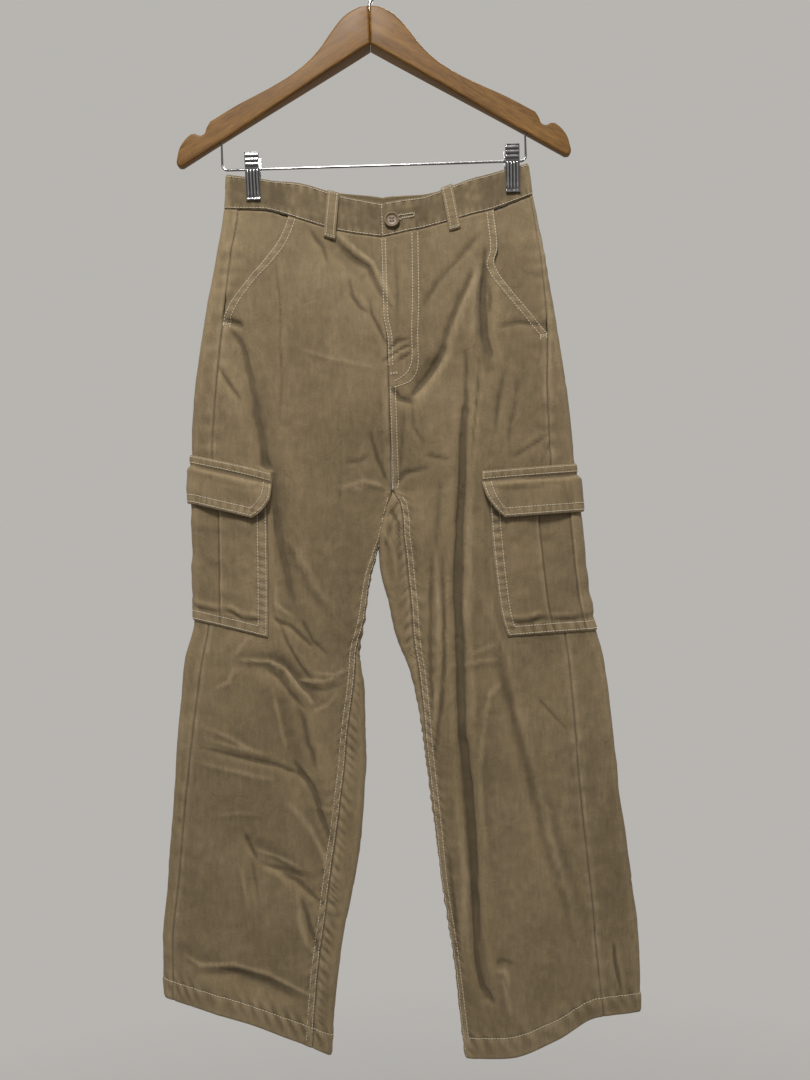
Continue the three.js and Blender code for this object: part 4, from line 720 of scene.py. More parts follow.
def new_mesh(name, points, faces, paint=()):
    """A smooth mesh from points in millimetres and arrays of faces, each array of one size."""
    corners = np.concatenate([group.ravel() for group in faces]).astype(np.int32)
    sizes = np.concatenate([np.full(len(group), group.shape[1]) for group in faces])
    mesh = bpy.data.meshes.new(name)
    mesh.vertices.add(len(points))
    mesh.vertices.foreach_set("co", (points * MM).astype(np.float32).ravel())
    mesh.loops.add(len(corners))
    mesh.loops.foreach_set("vertex_index", corners)
    mesh.polygons.add(len(sizes))
    mesh.polygons.foreach_set("loop_start", (np.cumsum(sizes) - sizes).astype(np.int32))
    mesh.polygons.foreach_set("use_smooth", np.full(len(sizes), True))
    for key, values in paint:
        attribute = mesh.attributes.new(key, "FLOAT", "POINT")
        attribute.data.foreach_set("value", np.asarray(values, np.float32))
    mesh.update(calc_edges=True)
    mesh.validate()
    return mesh


def add_piece(name, mesh, finish):
    piece = bpy.data.objects.new(name, mesh)
    bpy.context.scene.collection.objects.link(piece)
    piece.data.materials.append(finish)
    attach(piece, "root")
    return piece


def mesh_piece(name, points, quads, finish, paint=()):
    """A piece from points and quads, with its outside out."""
    if signed_volume(points, quads) < 0:
        quads = quads[:, ::-1]
    return add_piece(name, new_mesh(name, points, [quads], paint), finish)


def two_sided(outer, inner):
    """Points of a shell: its outer grid, then its inner one."""
    return np.concatenate([outer.reshape(-1, 3), inner.reshape(-1, 3)])


def outer_only(values, outer):
    """Values of a shell's outer points, with 0 for its inner ones."""
    wide = np.broadcast_to(values, outer.shape[:2]).ravel()
    return np.concatenate([wide, np.zeros(wide.size)])


def shell(node_name, outer, inner, wear=0, painted_shade=0):
    """A thin closed shell of cloth between two grids of points, in place of a node."""
    outward = outer - inner
    outward /= np.maximum(np.linalg.norm(outward, axis=2, keepdims=True), 1e-6)
    # low holds painted shade in hollows and painted highlight on ridges, from how far each outer point lies
    # below its neighbours, plus any extra painted shade
    low = hollows(outer, outward, 3) + 0.09 * hollows(outer, outward, 9) + painted_shade
    paint = (("wear", outer_only(np.clip(wear, 0, 1), outer)), ("painted_light_and_shade", outer_only(low, outer)))
    faces = shell_faces(*outer.shape[:2])
    piece = mesh_piece(f"{node_name}_cloth", two_sided(outer, inner), faces, CLOTH_FINISH, paint)
    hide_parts(node_name)
    return piece


def steps_between(first, last, step=FINE):
    return np.linspace(0, 1, max(int(round(abs(last - first) / step)), 2) + 1)


# Sewing: length and thickness of a stitch, and its rings as forward, rise and share of the radius
STITCH = {"pitch": 3.5, "radius": 0.43}
STITCH_RINGS = ((-1.5, -0.35, 0.6), (-1.0, 0.16, 1.0), (1.0, 0.16, 1.0), (1.5, -0.35, 0.6))
STITCH_SIDES = 5


def read_at(values, lengths, at):
    return np.stack([np.interp(at, lengths, values[:, k]) for k in range(3)], 1)


def sew(runs, name, scale=1.0):
    """Small rounded stitches along runs of (points, normals), as one piece."""
    centres, tangents, normals = [], [], []
    for points, outward in runs:
        steps = np.linalg.norm(np.diff(points, axis=0), axis=1)
        lengths = np.concatenate([[0], np.cumsum(steps)])
        count = max(int(lengths[-1] / (STITCH["pitch"] * scale)), 1)
        at = (np.arange(count) + 0.5) * lengths[-1] / count
        centres.append(read_at(points, lengths, at))
        tangents.append(read_at(points, lengths, at + 0.8) - read_at(points, lengths, at - 0.8))
        normals.append(read_at(outward, lengths, at))
    centre, tangent, normal = (np.concatenate(part) for part in (centres, tangents, normals))
    tangent /= np.linalg.norm(tangent, axis=1, keepdims=True)
    normal -= tangent * np.einsum("ij,ij->i", normal, tangent)[:, None]
    normal /= np.linalg.norm(normal, axis=1, keepdims=True)
    side = np.cross(tangent, normal)
    turn = 2 * math.pi * np.arange(STITCH_SIDES) / STITCH_SIDES
    around = normal[:, None] * np.cos(turn)[None, :, None] + side[:, None] * np.sin(turn)[None, :, None]
    rings = []
    for forward, rise, share in STITCH_RINGS:
        middle = centre + (tangent * forward + normal * rise) * scale
        rings.append(middle[:, None] + STITCH["radius"] * share * scale * around)
    points = np.stack(rings, 1)
    index = np.arange(points[..., 0].size).reshape(points.shape[:3])
    quads, triangles = [ring_walls(index)], []
    for ring, four, three in ((0, (0, 1, 2, 3), (0, 3, 4)), (-1, (3, 2, 1, 0), (4, 3, 0))):
        quads.append(index[:, ring, four])
        triangles.append(index[:, ring, three])
    mesh = new_mesh(name, points.reshape(-1, 3), [np.concatenate(quads), np.concatenate(triangles)])
    return add_piece(name, mesh, THREAD_FINISH)


# Finishes
def new_finish(name, base, roughness, metallic=0.0):
    finish = bpy.data.materials.new(name)
    finish.use_nodes = True
    shader = finish.node_tree.nodes["Principled BSDF"]
    shader.inputs["Base Color"].default_value = (*base, 1)
    shader.inputs["Roughness"].default_value = roughness
    shader.inputs["Metallic"].default_value = metallic
    return finish, finish.node_tree, shader


def feed(tree, socket, value):
    """Links an output to a socket, or sets the socket's own value."""
    if isinstance(value, bpy.types.NodeSocket):
        tree.links.new(value, socket)
    else:
        socket.default_value = value


def drive(tree, shader, values):
    for name, value in values.items():
        feed(tree, shader.inputs[name], value)


def node(tree, kind, settings=(), **inputs):
    made = tree.nodes.new(kind)
    for key, value in settings:
        setattr(made, key, value)
    for key, value in inputs.items():
        feed(tree, made.inputs[key.replace("_", " ")], value)
    return made


def noise(tree, where, scale, **inputs):
    return node(tree, "ShaderNodeTexNoise", (), Vector=where, Scale=scale, **inputs).outputs["Fac"]


def painted(tree, name, output="Fac"):
    return node(tree, "ShaderNodeAttribute", (("attribute_name", name),)).outputs[output]


def bumped(tree, height, strength, distance, **inputs):
    made = node(tree, "ShaderNodeBump", (), Height=height, Strength=strength, Distance=distance, **inputs)
    return made.outputs["Normal"]


def place_of(tree, scale=(1, 1, 1), turn=(0, 0, 0)):
    where = node(tree, "ShaderNodeTexCoord")
    made = node(tree, "ShaderNodeMapping")
    made.inputs["Scale"].default_value = scale
    made.inputs["Rotation"].default_value = turn
    tree.links.new(where.outputs["Object"], made.inputs["Vector"])
    return made.outputs["Vector"]


def mixed(tree, share, low, high):
    made = node(tree, "ShaderNodeMix", (("data_type", "RGBA"),))
    for index, value in ((0, share), (6, low), (7, high)):
        feed(tree, made.inputs[index], value)
    return made.outputs[2]


def scaled(tree, colour, share):
    made = node(tree, "ShaderNodeVectorMath", (("operation", "SCALE"),), Scale=share)
    feed(tree, made.inputs[0], colour)
    return made.outputs[0]


def between(tree, value, from_low, from_high, to_low, to_high):
    made = node(tree, "ShaderNodeMapRange", (), Value=value)
    for index, number in enumerate((from_low, from_high, to_low, to_high)):
        made.inputs[index + 1].default_value = number
    return made.outputs["Result"]


def maths(tree, operation, first, second):
    made = node(tree, "ShaderNodeMath", (("operation", operation),))
    for socket, value in zip(made.inputs, (first, second)):
        feed(tree, socket, value)
    return made.outputs[0]


def weighted(tree, *parts):
    """Sum of outputs, each times its weight."""
    total = 0.0
    for value, weight in parts:
        total = maths(tree, "ADD", total, maths(tree, "MULTIPLY", value, weight))
    return total


CLOTH_TONES = {
    "deep": (0.165, 0.121, 0.066, 1), "fair": (0.268, 0.200, 0.112, 1), "worn": (0.40, 0.312, 0.20, 1),
}
# Painted shade in hollows and painted highlight on ridges: hollow from, hollow to, brightness from,
# brightness to
CLOTH_PAINTED_SHADING = (-0.35, 0.60, 1.20, 0.62)
METAL_PAINTED_SHADING = (-0.5, 0.5, 2.0, 0.25)
TWILL = {"scale": 285.0, "turn": math.radians(58)}


def cloth_finish():
    finish, tree, shader = new_finish("cotton_twill", (0.25, 0.185, 0.108), 0.88)
    plain = place_of(tree)
    wide = noise(tree, plain, 9.0, Detail=4.0, Roughness=0.6)
    slub = noise(tree, place_of(tree, (260, 260, 60)), 1.0, Detail=3.0)
    fleck = noise(tree, plain, 760.0, Detail=3.0, Roughness=0.7)
    crumple = noise(tree, place_of(tree, (1, 1, 0.7)), 42.0, Detail=4.0, Roughness=0.55, Distortion=0.7)
    turned = place_of(tree, (1, 1, 1), (0, TWILL["turn"], 0))
    twill = node(tree, "ShaderNodeTexWave", (("bands_direction", "X"),), Vector=turned, Scale=TWILL["scale"],
                 Distortion=1.2, Detail=2.0, Detail_Scale=2.0).outputs["Fac"]
    tone = weighted(tree, (wide, 0.55), (slub, 0.3), (fleck, 0.5), (twill, 0.14))
    share = between(tree, tone, 0.58, 0.92, 0.0, 1.0)
    colour = mixed(tree, share, CLOTH_TONES["deep"], CLOTH_TONES["fair"])
    rubbed = maths(tree, "MULTIPLY", painted(tree, "wear"), between(tree, slub, 0.3, 0.7, 0.35, 1.0))
    colour = mixed(tree, rubbed, colour, CLOTH_TONES["worn"])
    weave = weighted(tree, (twill, 0.6), (fleck, 1.0))
    drive(tree, shader, {
        # Base colour darkened by painted shade in hollows and lightened by painted highlight on ridges
        "Base Color": scaled(tree, colour, between(tree, painted(tree, "painted_light_and_shade"), *CLOTH_PAINTED_SHADING)),
        "Roughness": between(tree, fleck, 0.3, 0.7, 0.80, 0.95),
        "Normal": bumped(tree, weave, 0.6, 0.0004, Normal=bumped(tree, crumple, 0.6, 0.004)),
        "Sheen Weight": 0.12, "Sheen Roughness": 0.5, "Specular IOR Level": 0.25,
    })
    return finish


def thread_finish():
    finish, tree, shader = new_finish("cream_thread", (0.60, 0.52, 0.39), 0.7)
    strands = noise(tree, place_of(tree), 420.0, Detail=3.0)
    fine = noise(tree, place_of(tree), 3000.0, Detail=1.0)
    drive(tree, shader, {
        "Base Color": mixed(tree, strands, (0.46, 0.39, 0.28, 1), (0.78, 0.70, 0.56, 1)),
        "Normal": bumped(tree, fine, 0.4, 0.0001),
    })
    return finish


def wood_finish():
    finish, tree, shader = new_finish("lacquered_beech", (0.36, 0.17, 0.06), 0.35)
    grain = painted(tree, "grain", "Vector")
    bend = noise(tree, grain, 1.2, Detail=3.0)
    streak = noise(tree, grain, 9.0, Detail=6.0, Distortion=0.6)
    pore = noise(tree, grain, 60.0, Detail=2.0)
    share = between(tree, weighted(tree, (bend, 0.4), (streak, 0.6)), 0.36, 0.66, 0.0, 1.0)
    colour = mixed(tree, share, (0.112, 0.050, 0.010, 1), (0.255, 0.130, 0.032, 1))
    dark = between(tree, pore, 0.58, 0.75, 0.0, 0.45)
    drive(tree, shader, {
        "Base Color": mixed(tree, dark, colour, (0.06, 0.027, 0.009, 1)),
        "Roughness": between(tree, streak, 0.3, 0.7, 0.42, 0.58),
        "Normal": bumped(tree, pore, 0.12, 0.0003),
        "Specular IOR Level": 0.2, "Coat Weight": 0.06, "Coat Roughness": 0.3,
    })
    return finish


def metal_finish():
    finish, tree, shader = new_finish("bright_plate", (0.62, 0.63, 0.64), 0.16, 1.0)
    cloud = noise(tree, place_of(tree), 160.0, Detail=3.0)
    colour = mixed(tree, cloud, (0.20, 0.20, 0.205, 1), (0.34, 0.34, 0.34, 1))
    drive(tree, shader, {
        # Base colour darkened by painted shade in grooves and brightened by painted highlight on ridges;
        # parts without the attribute get a plain 1.125
        "Base Color": scaled(tree, colour, between(tree, painted(tree, "painted_light_and_shade"), *METAL_PAINTED_SHADING)),
        "Roughness": between(tree, cloud, 0.3, 0.7, 0.12, 0.26),
    })
    return finish


def button_finish():
    finish, tree, shader = new_finish("brown_button", (0.17, 0.11, 0.06), 0.42)
    cloud = noise(tree, place_of(tree, (1, 1, 2.5)), 380.0, Detail=5.0, Distortion=1.5)
    share = between(tree, cloud, 0.35, 0.65, 0.0, 1.0)
    drive(tree, shader, {
        "Base Color": mixed(tree, share, (0.115, 0.074, 0.040, 1), (0.235, 0.165, 0.095, 1)),
        "Roughness": between(tree, cloud, 0.3, 0.7, 0.34, 0.5),
    })
    return finish


CLOTH_FINISH = cloth_finish()
THREAD_FINISH = thread_finish()
WOOD_FINISH = wood_finish()
METAL_FINISH = metal_finish()
BUTTON_FINISH = button_finish()

# Seams: double rows of stitches, hem stitches, and the ripples that they draw up
FELL_WIDTH = 7
ROW_IN = 1.4
HEM_STITCH = 22.5
HEM_WRAP = 24


def edge_roll(distance, size=0.8, width=1.4):
    return -size * bump_at(distance, width)


def inseam_ripple(inwards, run, rope="rope"):
    """Rope-like ripples of the felled inseam, and the wider ones that they draw up beside it."""
    return pucker(rope, inwards - 4.5, run + inwards) + pucker("inseam", inwards, run)


def hem_ripple(up, x, kind="hem"):
    return pucker(kind, up - HEM_STITCH + 3, x + 0.4 * up)


def hem_relief(section, x):
    up = section.row_z - HEM_Z[section.half]
    doubled = 0.45 * smooth_step(HEM_WRAP, HEM_WRAP - 3, up)
    groove = -0.55 * bump_at(up - HEM_STITCH, 1.3)
    return doubled + groove + hem_ripple(up, x) + edge_roll(up, 0.9, 1.6)


def panel_along(section, side):
    if side == "front":
        start = slant_along(section) + HALF_GAP
        end = inseam_along(section) + lap_over(section) - HALF_GAP
        return start, end
    wrap = np.where(section.in_leg, section.front.length - inseam_along(section), 0)
    return outseam_along(section) - HALF_GAP, HALF_GAP - section.back.length - wrap


def seam_relief(section, side, along, run):
    """Rolled edges, felled bands and ripples of the seams round one panel."""
    start, end = panel_along(section, side)
    from_start, from_end = np.abs(along - start), np.abs(end - along)
    slanted = (slant_along(section) > outseam_along(section) + 1.5) if side == "front" else False
    plain = np.where(slanted, 0, 1)
    height = (edge_roll(from_start) + pucker("outseam", from_start, run)) * plain + edge_roll(from_end)
    height = height + np.where(section.in_leg, inseam_ripple(from_end, run), 0)
    if side == "front":
        band = np.where(slanted, 1, 0) * smooth_step(FELL_WIDTH + 3, FELL_WIDTH + 1, from_start)
        height = height + band * (0.35 + pucker("slant", from_start - 5, run))
        felled = smooth_step(LAP_END_Z + 4, LAP_END_Z - 6, section.row_z)
        height = height + felled * 0.35 * smooth_step(FELL_WIDTH + 1.5, FELL_WIDTH, from_end)
    return height


def panel_rows(bottom_z):
    above = mix(WAIST_SEAM_Z, CROTCH_Z, steps_between(WAIST_SEAM_Z, CROTCH_Z))
    below = mix(CROTCH_Z - 0.3, bottom_z, steps_between(CROTCH_Z - 0.3, bottom_z))
    return np.concatenate([above, below])[:, None]


def wear_of(height, edges):
    """Paler where cloth stands up or bends sharply, and along worked edges."""
    return np.clip(0.16 * np.maximum(height, 0) + edges, 0, 0.85)


def make_panel(half, side):
    section = Section(half, panel_rows(HEM_Z[half]))
    start, end = panel_along(section, side)
    share = steps_between(0, float(np.max(np.abs(end - start))))[None, :]
    along = mix(start, end, share)
    base, normal = base_of(section, along)
    own = relief(section, along)
    worked = seam_relief(section, side, along, base[..., 2]) + hem_relief(section, base[..., 0])
    lift = lap_lift(section, along) if side == "front" else 0
    height = own + worked + lift
    outer = moved(base, normal, height)
    inner = moved(base, normal, height - CLOTH - 0.6 * np.minimum(worked, 0))
    up = section.row_z - HEM_Z[half]
    edge = 0.32 * bump_at(np.minimum(np.abs(along - start), np.abs(end - along)) - 2, 3.5)
    edge = edge + 0.45 * bump_at(up, 3) + 0.15 * bump_at(up - HEM_STITCH, 4)
    edge = edge * (0.7 + 0.5 * uneven(base[..., 0], base[..., 2], 9))
    return shell(f"{side}_{half}", outer, inner, wear_of(own + worked, edge))


def make_facing(half):
    """Cloth behind a slant pocket's opening."""
    top, bottom = WAIST_SEAM_Z - 1, SLANT_END_Z[half] - FACING_BELOW
    section = Section(half, mix(top, bottom, steps_between(top, bottom))[:, None])
    seam, slant = outseam_along(section), slant_along(section)
    along = mix(seam + HALF_GAP, slant + FACING_UNDERLAP, steps_between(0, 60)[None, :])
    opened = slant - seam
    seated = smooth_step(0, 1, (along - seam) / np.maximum(opened - 4, 4))
    lift = -(CLOTH + FACING_GAP) * mix(1 - smooth_step(6, 14, opened), 1, seated)
    base, normal = base_of(section, along)
    ripple = pucker("outseam", along - seam, base[..., 2]) + edge_roll(along - seam)
    height = relief(section, along) + lift + ripple
    outer, inner = moved(base, normal, height), moved(base, normal, height - FACING_CLOTH)
    return shell(f"pocket_facing_{half}", outer, inner, 0.1 * bump_at(along - seam, 3))


def make_shield():
    """Cloth behind the fly, between the two fronts."""
    rows = mix(WAIST_SEAM_Z - 1, SHIELD_END_Z, steps_between(WAIST_SEAM_Z - 1, SHIELD_END_Z))[:, None]
    shares = np.linspace(1, 0, 5)[None, :]
    outer, inner = [], []
    for half in HALVES:
        section = Section(half, rows)
        share = shares if half == "left" else 1 - shares
        along = section.front.length - 1 - share * SHIELD_HALF
        base, normal = base_of(section, along)
        height = relief(section, along) - CLOTH - FACING_GAP
        outer.append(moved(base, normal, height))
        inner.append(moved(base, normal, height - SHIELD_CLOTH))
    return shell("fly_shield", np.concatenate(outer, 1), np.concatenate(inner, 1))


BAND_TOP_Z = WAIST_SEAM_Z + BAND_HEIGHT
BAND_CORNER = 5
BAND_ROW = 2.4
# Painted shade that darkens the whole waistband
BAND_PAINTED_SHADE = 0.4
BAND_STEP = 1.6
BAND_DRAPE = 0.8


def band_relief(section, run):
    """Pressed edges, stitched grooves and slight ripples of the waistband."""
    up = section.row_z - WAIST_SEAM_Z
    down = BAND_TOP_Z - section.row_z
    height = edge_roll(up - SEAM_GAP, 0.9) + edge_roll(down, 0.8, 1.8)
    for kind, inwards in (("band foot", up - BAND_ROW), ("band top", down - BAND_ROW)):
        height = height - 0.3 * bump_at(inwards, 1.0) + pucker(kind, inwards, run)
    loose = smooth_step(3, 12, np.minimum(up, down)) * (1 - pinch_at(run, section.row_z))
    return height + loose * (0.7 * uneven(run, section.row_z + 50, 15) + 0.4 * uneven(run, section.row_z, 7))


def band_parts(rows):
    """The waistband's stretches in order: section, places along it, and whether it is the lap."""
    right, left = Section("right", rows), Section("left", rows)
    rounding = BAND_CORNER * smooth_step(BAND_TOP_Z - BAND_CORNER * 2.4, BAND_TOP_Z, rows)
    lap = right.front.length + LAP_OVER - rounding
    down = steps_between(0, 170)[None, :]
    under = right.front.length - np.array((0.25, 0.5, 0.75, 1))[None, :] * BAND_UNDERLAP
    return (
        (right, mix(lap, 0, down), True),
        (right, mix(0 * lap, -right.back.length, down[:, 1:]), False),
        (left, mix(-left.back.length, 0, down[:, 1:]), False),
        (left, mix(0 * lap, left.front.length, down[:, 1:]), False),
        (right, under, False),
    )


def make_waistband():
    rows = mix(BAND_TOP_Z, WAIST_SEAM_Z + SEAM_GAP, steps_between(0, BAND_HEIGHT, BAND_STEP))[:, None]
    edge = 0.25 * bump_at(BAND_TOP_Z - rows, 2.5) + 0.1 * bump_at(rows - WAIST_SEAM_Z - 2, 3)
    outer, inner, worn = [], [], []
    for section, along, lapped in band_parts(rows):
        base, normal = base_of(section, along)
        own = BAND_DRAPE * relief(section, along) + band_relief(section, base[..., 0])
        height = own + (lap_lift(section, along) if lapped else 0)
        outer.append(moved(base, normal, height))
        inner.append(moved(base, normal, height - BAND_CLOTH))
        worn.append(np.broadcast_to(wear_of(own, edge), along.shape))
    outer, inner, worn = (np.concatenate(grids, 1) for grids in (outer, inner, worn))
    # The whole waistband is darkened with painted shade
    return shell("waistband", outer, inner, worn, BAND_PAINTED_SHADE)


def loop_grid(loop, across, down):
    """Section rows, places along them and standing height of one belt loop."""
    _, half, side, top_x, bottom_x = loop
    top, bottom = BAND_TOP_Z + LOOP["above"], WAIST_SEAM_Z - LOOP["below"]
    section = Section(half, mix(top, bottom, down))
    middle = mix(top_x, bottom_x, down)
    near_centre = abs(top_x - CENTRE_X) < LOOP["width"]
    fit = abs(top_x - CENTRE_X) - LOOP["width"] / 2 if near_centre else 0
    along = along_at_x(section, middle - fit + across * LOOP["width"] / 2, side)
    bow = LOOP["bow"] * np.sin(math.pi * np.clip(down, 0, 1))
    return section, along, SEAM_GAP + bow + 0 * along


def make_loop(loop):
    across = np.linspace(-1, 1, 11)[None, :]
    down = np.linspace(0, 1, 37)[:, None]
    section, along, lift = loop_grid(loop, across, down)
    base, normal = base_of(section, along)
    from_side = 1 - np.abs(across)
    thick = LOOP["thick"] - 0.75 * bump_at(from_side, 0.16) - 0.25 * bump_at(np.abs(across) - LOOP_ROW, 0.12)
    thick = thick - 0.6 * bump_at(np.minimum(down, 1 - down), 0.02) + pucker("loop", 0 * along, base[..., 2])
    outer, inner = moved(base, normal, lift + thick), moved(base, normal, lift)
    return shell(loop[0], outer, inner, 0.4 * bump_at(from_side, 0.22))


# Cargo pockets and flaps
def flat_at_edge(along):
    return bump_at(along, EDGE_REACH)


def pocket_height(half):
    return POCKET_TOP_Z[half] - MOUTH_BELOW_BAND - POCKET_BOTTOM_Z[half]


def pocket_stand(along, across, down, height):
    edge = np.minimum((POCKET_HALF_WIDTH - np.abs(across)) / 26, (height - down) / 26)
    puff = POCKET_PUFF * smooth_step(0, 1, edge) * (1 - 0.75 * flat_at_edge(along))
    pleat = PLEAT_DEPTH * smooth_step(PLEAT_HALF_WIDTH + 1.5, PLEAT_HALF_WIDTH - 1.5, np.abs(across))
    hem = smooth_step(height - POCKET_HEM, height - POCKET_HEM - 12, down)
    return CLOTH + LAID_GAP + puff + (PLEAT_DEPTH - pleat) * hem * smooth_step(0, 1, edge)


POCKET_ROWS_IN = (2.4, 10.6)
POCKET_STEP = 0.72
# Painted shadow of the flap on the pocket below it: its darkness, and how far it fades below the flap
FLAP_PAINTED_SHADOW = 0.6
FLAP_PAINTED_SHADOW_FADE = 7


def pocket_relief(half, across, down):
    """Stitched edges, the pleat's folds, and crumples over the bottom hem."""
    seed = 1 if half == "left" else 2
    side_in = POCKET_HALF_WIDTH - np.abs(across)
    foot_in = pocket_height(half) - down
    near = np.minimum(side_in, foot_in)
    height = edge_roll(near, 1.0, 1.5) + edge_roll(down, 0.7, 1.5)
    for row in POCKET_ROWS_IN:
        height = height - 0.28 * bump_at(near - row, 0.9)
    height = height + pucker("pocket side", side_in - 6.5, down, seed)
    height = height + pucker("pocket foot", foot_in - 6.5, across, seed)
    height = height - 0.75 * bump_at(np.abs(across) - PLEAT_HALF_WIDTH + 0.6, 0.9)
    waves = uneven(across / 2.6 + 17 * seed, down + 9 * seed, 15)
    fine = uneven(across / 1.6, down + 31 * seed, 8)
    height = height + smooth_step(9, 22, near) * (0.95 * waves + 0.35 * fine)
    wander = foot_in - 15 + 4 * uneven(across, 0 * across + 5 * seed, 17)
    crumple = smooth_step(6, 16, side_in) * (1 + 0.7 * uneven(across, 0 * across + 3, 13))
    return height + crumple * (1.2 * bump_at(wander - 5.5, 3.6) - 1.5 * bump_at(wander, 2.4))


def pocket_place(half, across, down):
    """Section, place along it and outer height of a cargo pocket at its own across and down."""
    mouth = POCKET_TOP_Z[half] - MOUTH_BELOW_BAND
    section = Section(half, mouth - down)
    along = along_from_outer(section, POCKET_CENTRE[half]) + across
    plain = pocket_stand(along, across, down, pocket_height(half))
    return section, along, plain


def make_pocket(half):
    height, step = pocket_height(half), FINE * POCKET_STEP
    across = np.linspace(-POCKET_HALF_WIDTH, POCKET_HALF_WIDTH, int(2 * POCKET_HALF_WIDTH / step))[None, :]
    down = np.linspace(0, height, int(height / step))[:, None]
    section, along, plain = pocket_place(half, across, down)
    base, normal = base_of(section, along)
    bumps = pocket_relief(half, across + 0 * down, down + 0 * across)
    outer = moved(base, normal, plain + np.maximum(bumps, -1.4))
    inner = moved(base, normal, plain - CLOTH + np.maximum(bumps, 0) * 0.5)
    near = np.minimum(POCKET_HALF_WIDTH - np.abs(across), height - down)
    edge = 0.5 * bump_at(near - 0.5, 2.2) + 0.22 * bump_at(near - 6.5, 6)
    edge = edge + 0.3 * bump_at(np.abs(across) - PLEAT_HALF_WIDTH - 1, 1.3)
    # Painted shadow where the flap hangs over the pocket
    covered = FLAP_LENGTH - MOUTH_BELOW_BAND
    painted_shade = FLAP_PAINTED_SHADOW * smooth_step(covered + FLAP_PAINTED_SHADOW_FADE, covered, down)
    return shell(f"cargo_pocket_{half}", outer, inner, wear_of(0.7 * bumps, edge), painted_shade)


FLAP_HALF = FLAP_SHAPE[0][1]
FLAP_LENGTH = FLAP_SHAPE[-1][0]
FLAP_ROWS_IN = (2.6, 9.8)
BAND_ROWS_DOWN = (2.0, 8.2)
FLAP_STEP = (0.68, 0.55)
FLAP_DEEPEST = -1.2


def flap_column(index, drop):
    return curve_through([row[0] for row in FLAP_SHAPE], [row[index] for row in FLAP_SHAPE], drop)


def drawn_in(place, half_width):
    """A place on the flap moved in with its sides, whose half width is half_width there."""
    return place * (1 - (1 - half_width / FLAP_HALF) * np.abs(place / FLAP_HALF) ** 3)


def flap_place(half, place, drop):
    """Section, place along it, inner height and distance from the flap's own side edge."""
    section = Section(half, POCKET_TOP_Z[half] - drop)
    half_width = flap_column(1, drop)
    squeezed = drawn_in(place, half_width)
    along = along_from_outer(section, POCKET_CENTRE[half]) + squeezed
    below = np.maximum(drop - MOUTH_BELOW_BAND + 6, 0)
    over = smooth_step(-10, -3, drop - MOUTH_BELOW_BAND)
    nears = [pocket_stand(along + d, squeezed + d, below, pocket_height(half)) for d in (-6, -3, 0, 3, 6)]
    highest = np.max(np.stack(np.broadcast_arrays(*nears)), 0)
    stand = flap_column(2, drop) * (1 - 0.75 * flat_at_edge(along))
    lift = np.maximum(np.maximum(FLAP_GAP, stand), over * (highest + FLAP_GAP))
    return section, along, lift, half_width - np.abs(squeezed)


def flap_relief(half, place, drop, side_in):
    seed = 3 if half == "left" else 4
    foot_in = FLAP_LENGTH - drop
    near = np.minimum(np.maximum(side_in, 0), foot_in)
    flap = smooth_step(9.5, 12, drop)
    height = edge_roll(near, 0.9, 1.5) + edge_roll(drop, 0.9, 1.5) - 0.9 * bump_at(drop - 10.4, 1.1)
    for row in FLAP_ROWS_IN:
        height = height - 0.28 * bump_at(near - row, 0.9) * flap
    for row in BAND_ROWS_DOWN:
        height = height - 0.25 * bump_at(drop - row, 0.8)
    ripple = pucker("flap foot", foot_in - 6, place, seed) + pucker("flap side", side_in - 6, drop, seed)
    height = height + flap * ripple + pucker("flap band", drop - 5, place, seed)
    lumps = uneven(place / 1.7 + 5 * seed, drop + 11 * seed, 17)
    return height + flap * smooth_step(0, 16, near) * 1.5 * lumps


def make_flap(half):
    places = np.linspace(-FLAP_HALF, FLAP_HALF, int(2 * FLAP_HALF / (FINE * FLAP_STEP[0])))[None, :]
    drop = np.linspace(0, FLAP_LENGTH, int(FLAP_LENGTH / (FINE * FLAP_STEP[1])))[:, None]
    section, along, lift, side_in = flap_place(half, places, drop)
    base, normal = base_of(section, along)
    bumps = flap_relief(half, places + 0 * drop, drop + 0 * places, side_in)
    outer = moved(base, normal, lift + CLOTH + np.maximum(bumps, FLAP_DEEPEST))
    inner = moved(base, normal, lift + np.maximum(bumps, 0) * 0.6)
    near = np.minimum(np.maximum(side_in, 0), FLAP_LENGTH - drop)
    edge = 0.55 * bump_at(near - 0.5, 2.4) + 0.2 * bump_at(near - 6, 5) + 0.3 * bump_at(drop, 2)
    return shell(f"cargo_flap_{half}", outer, inner, wear_of(0.6 * bumps, edge))


def run_on(half, row_z, along, lift):
    """A run of stitches on the garment surface."""
    row_z, along, lift = np.broadcast_arrays(np.asarray(row_z, float), along, lift)
    section = Section(half, row_z)
    base, normal = base_of(section, along)
    return moved(base, normal, relief(section, along) + lift), normal


def rows_down(top, bottom):
    return np.linspace(top, bottom, int(abs(top - bottom) / 1.5) + 2)


# Columns z, offset: curved row of the fly, and its distance from the centre front
FLY_STITCH = (
    (-327, 31), (-394, 29.5), (-438, 27), (-454, 27), (-466, 26), (-475, 22), (-481, 15), (-485, 6),
)
FLY_ROW_GAP = 6.5
FLY_ROWS_IN = (1.2, 5.2)
LAP_ROW_IN = 2.2
RISE_ROWS_IN = (1.6, 7.2)
SEAT_ROWS_IN = (1.6, 7.6)


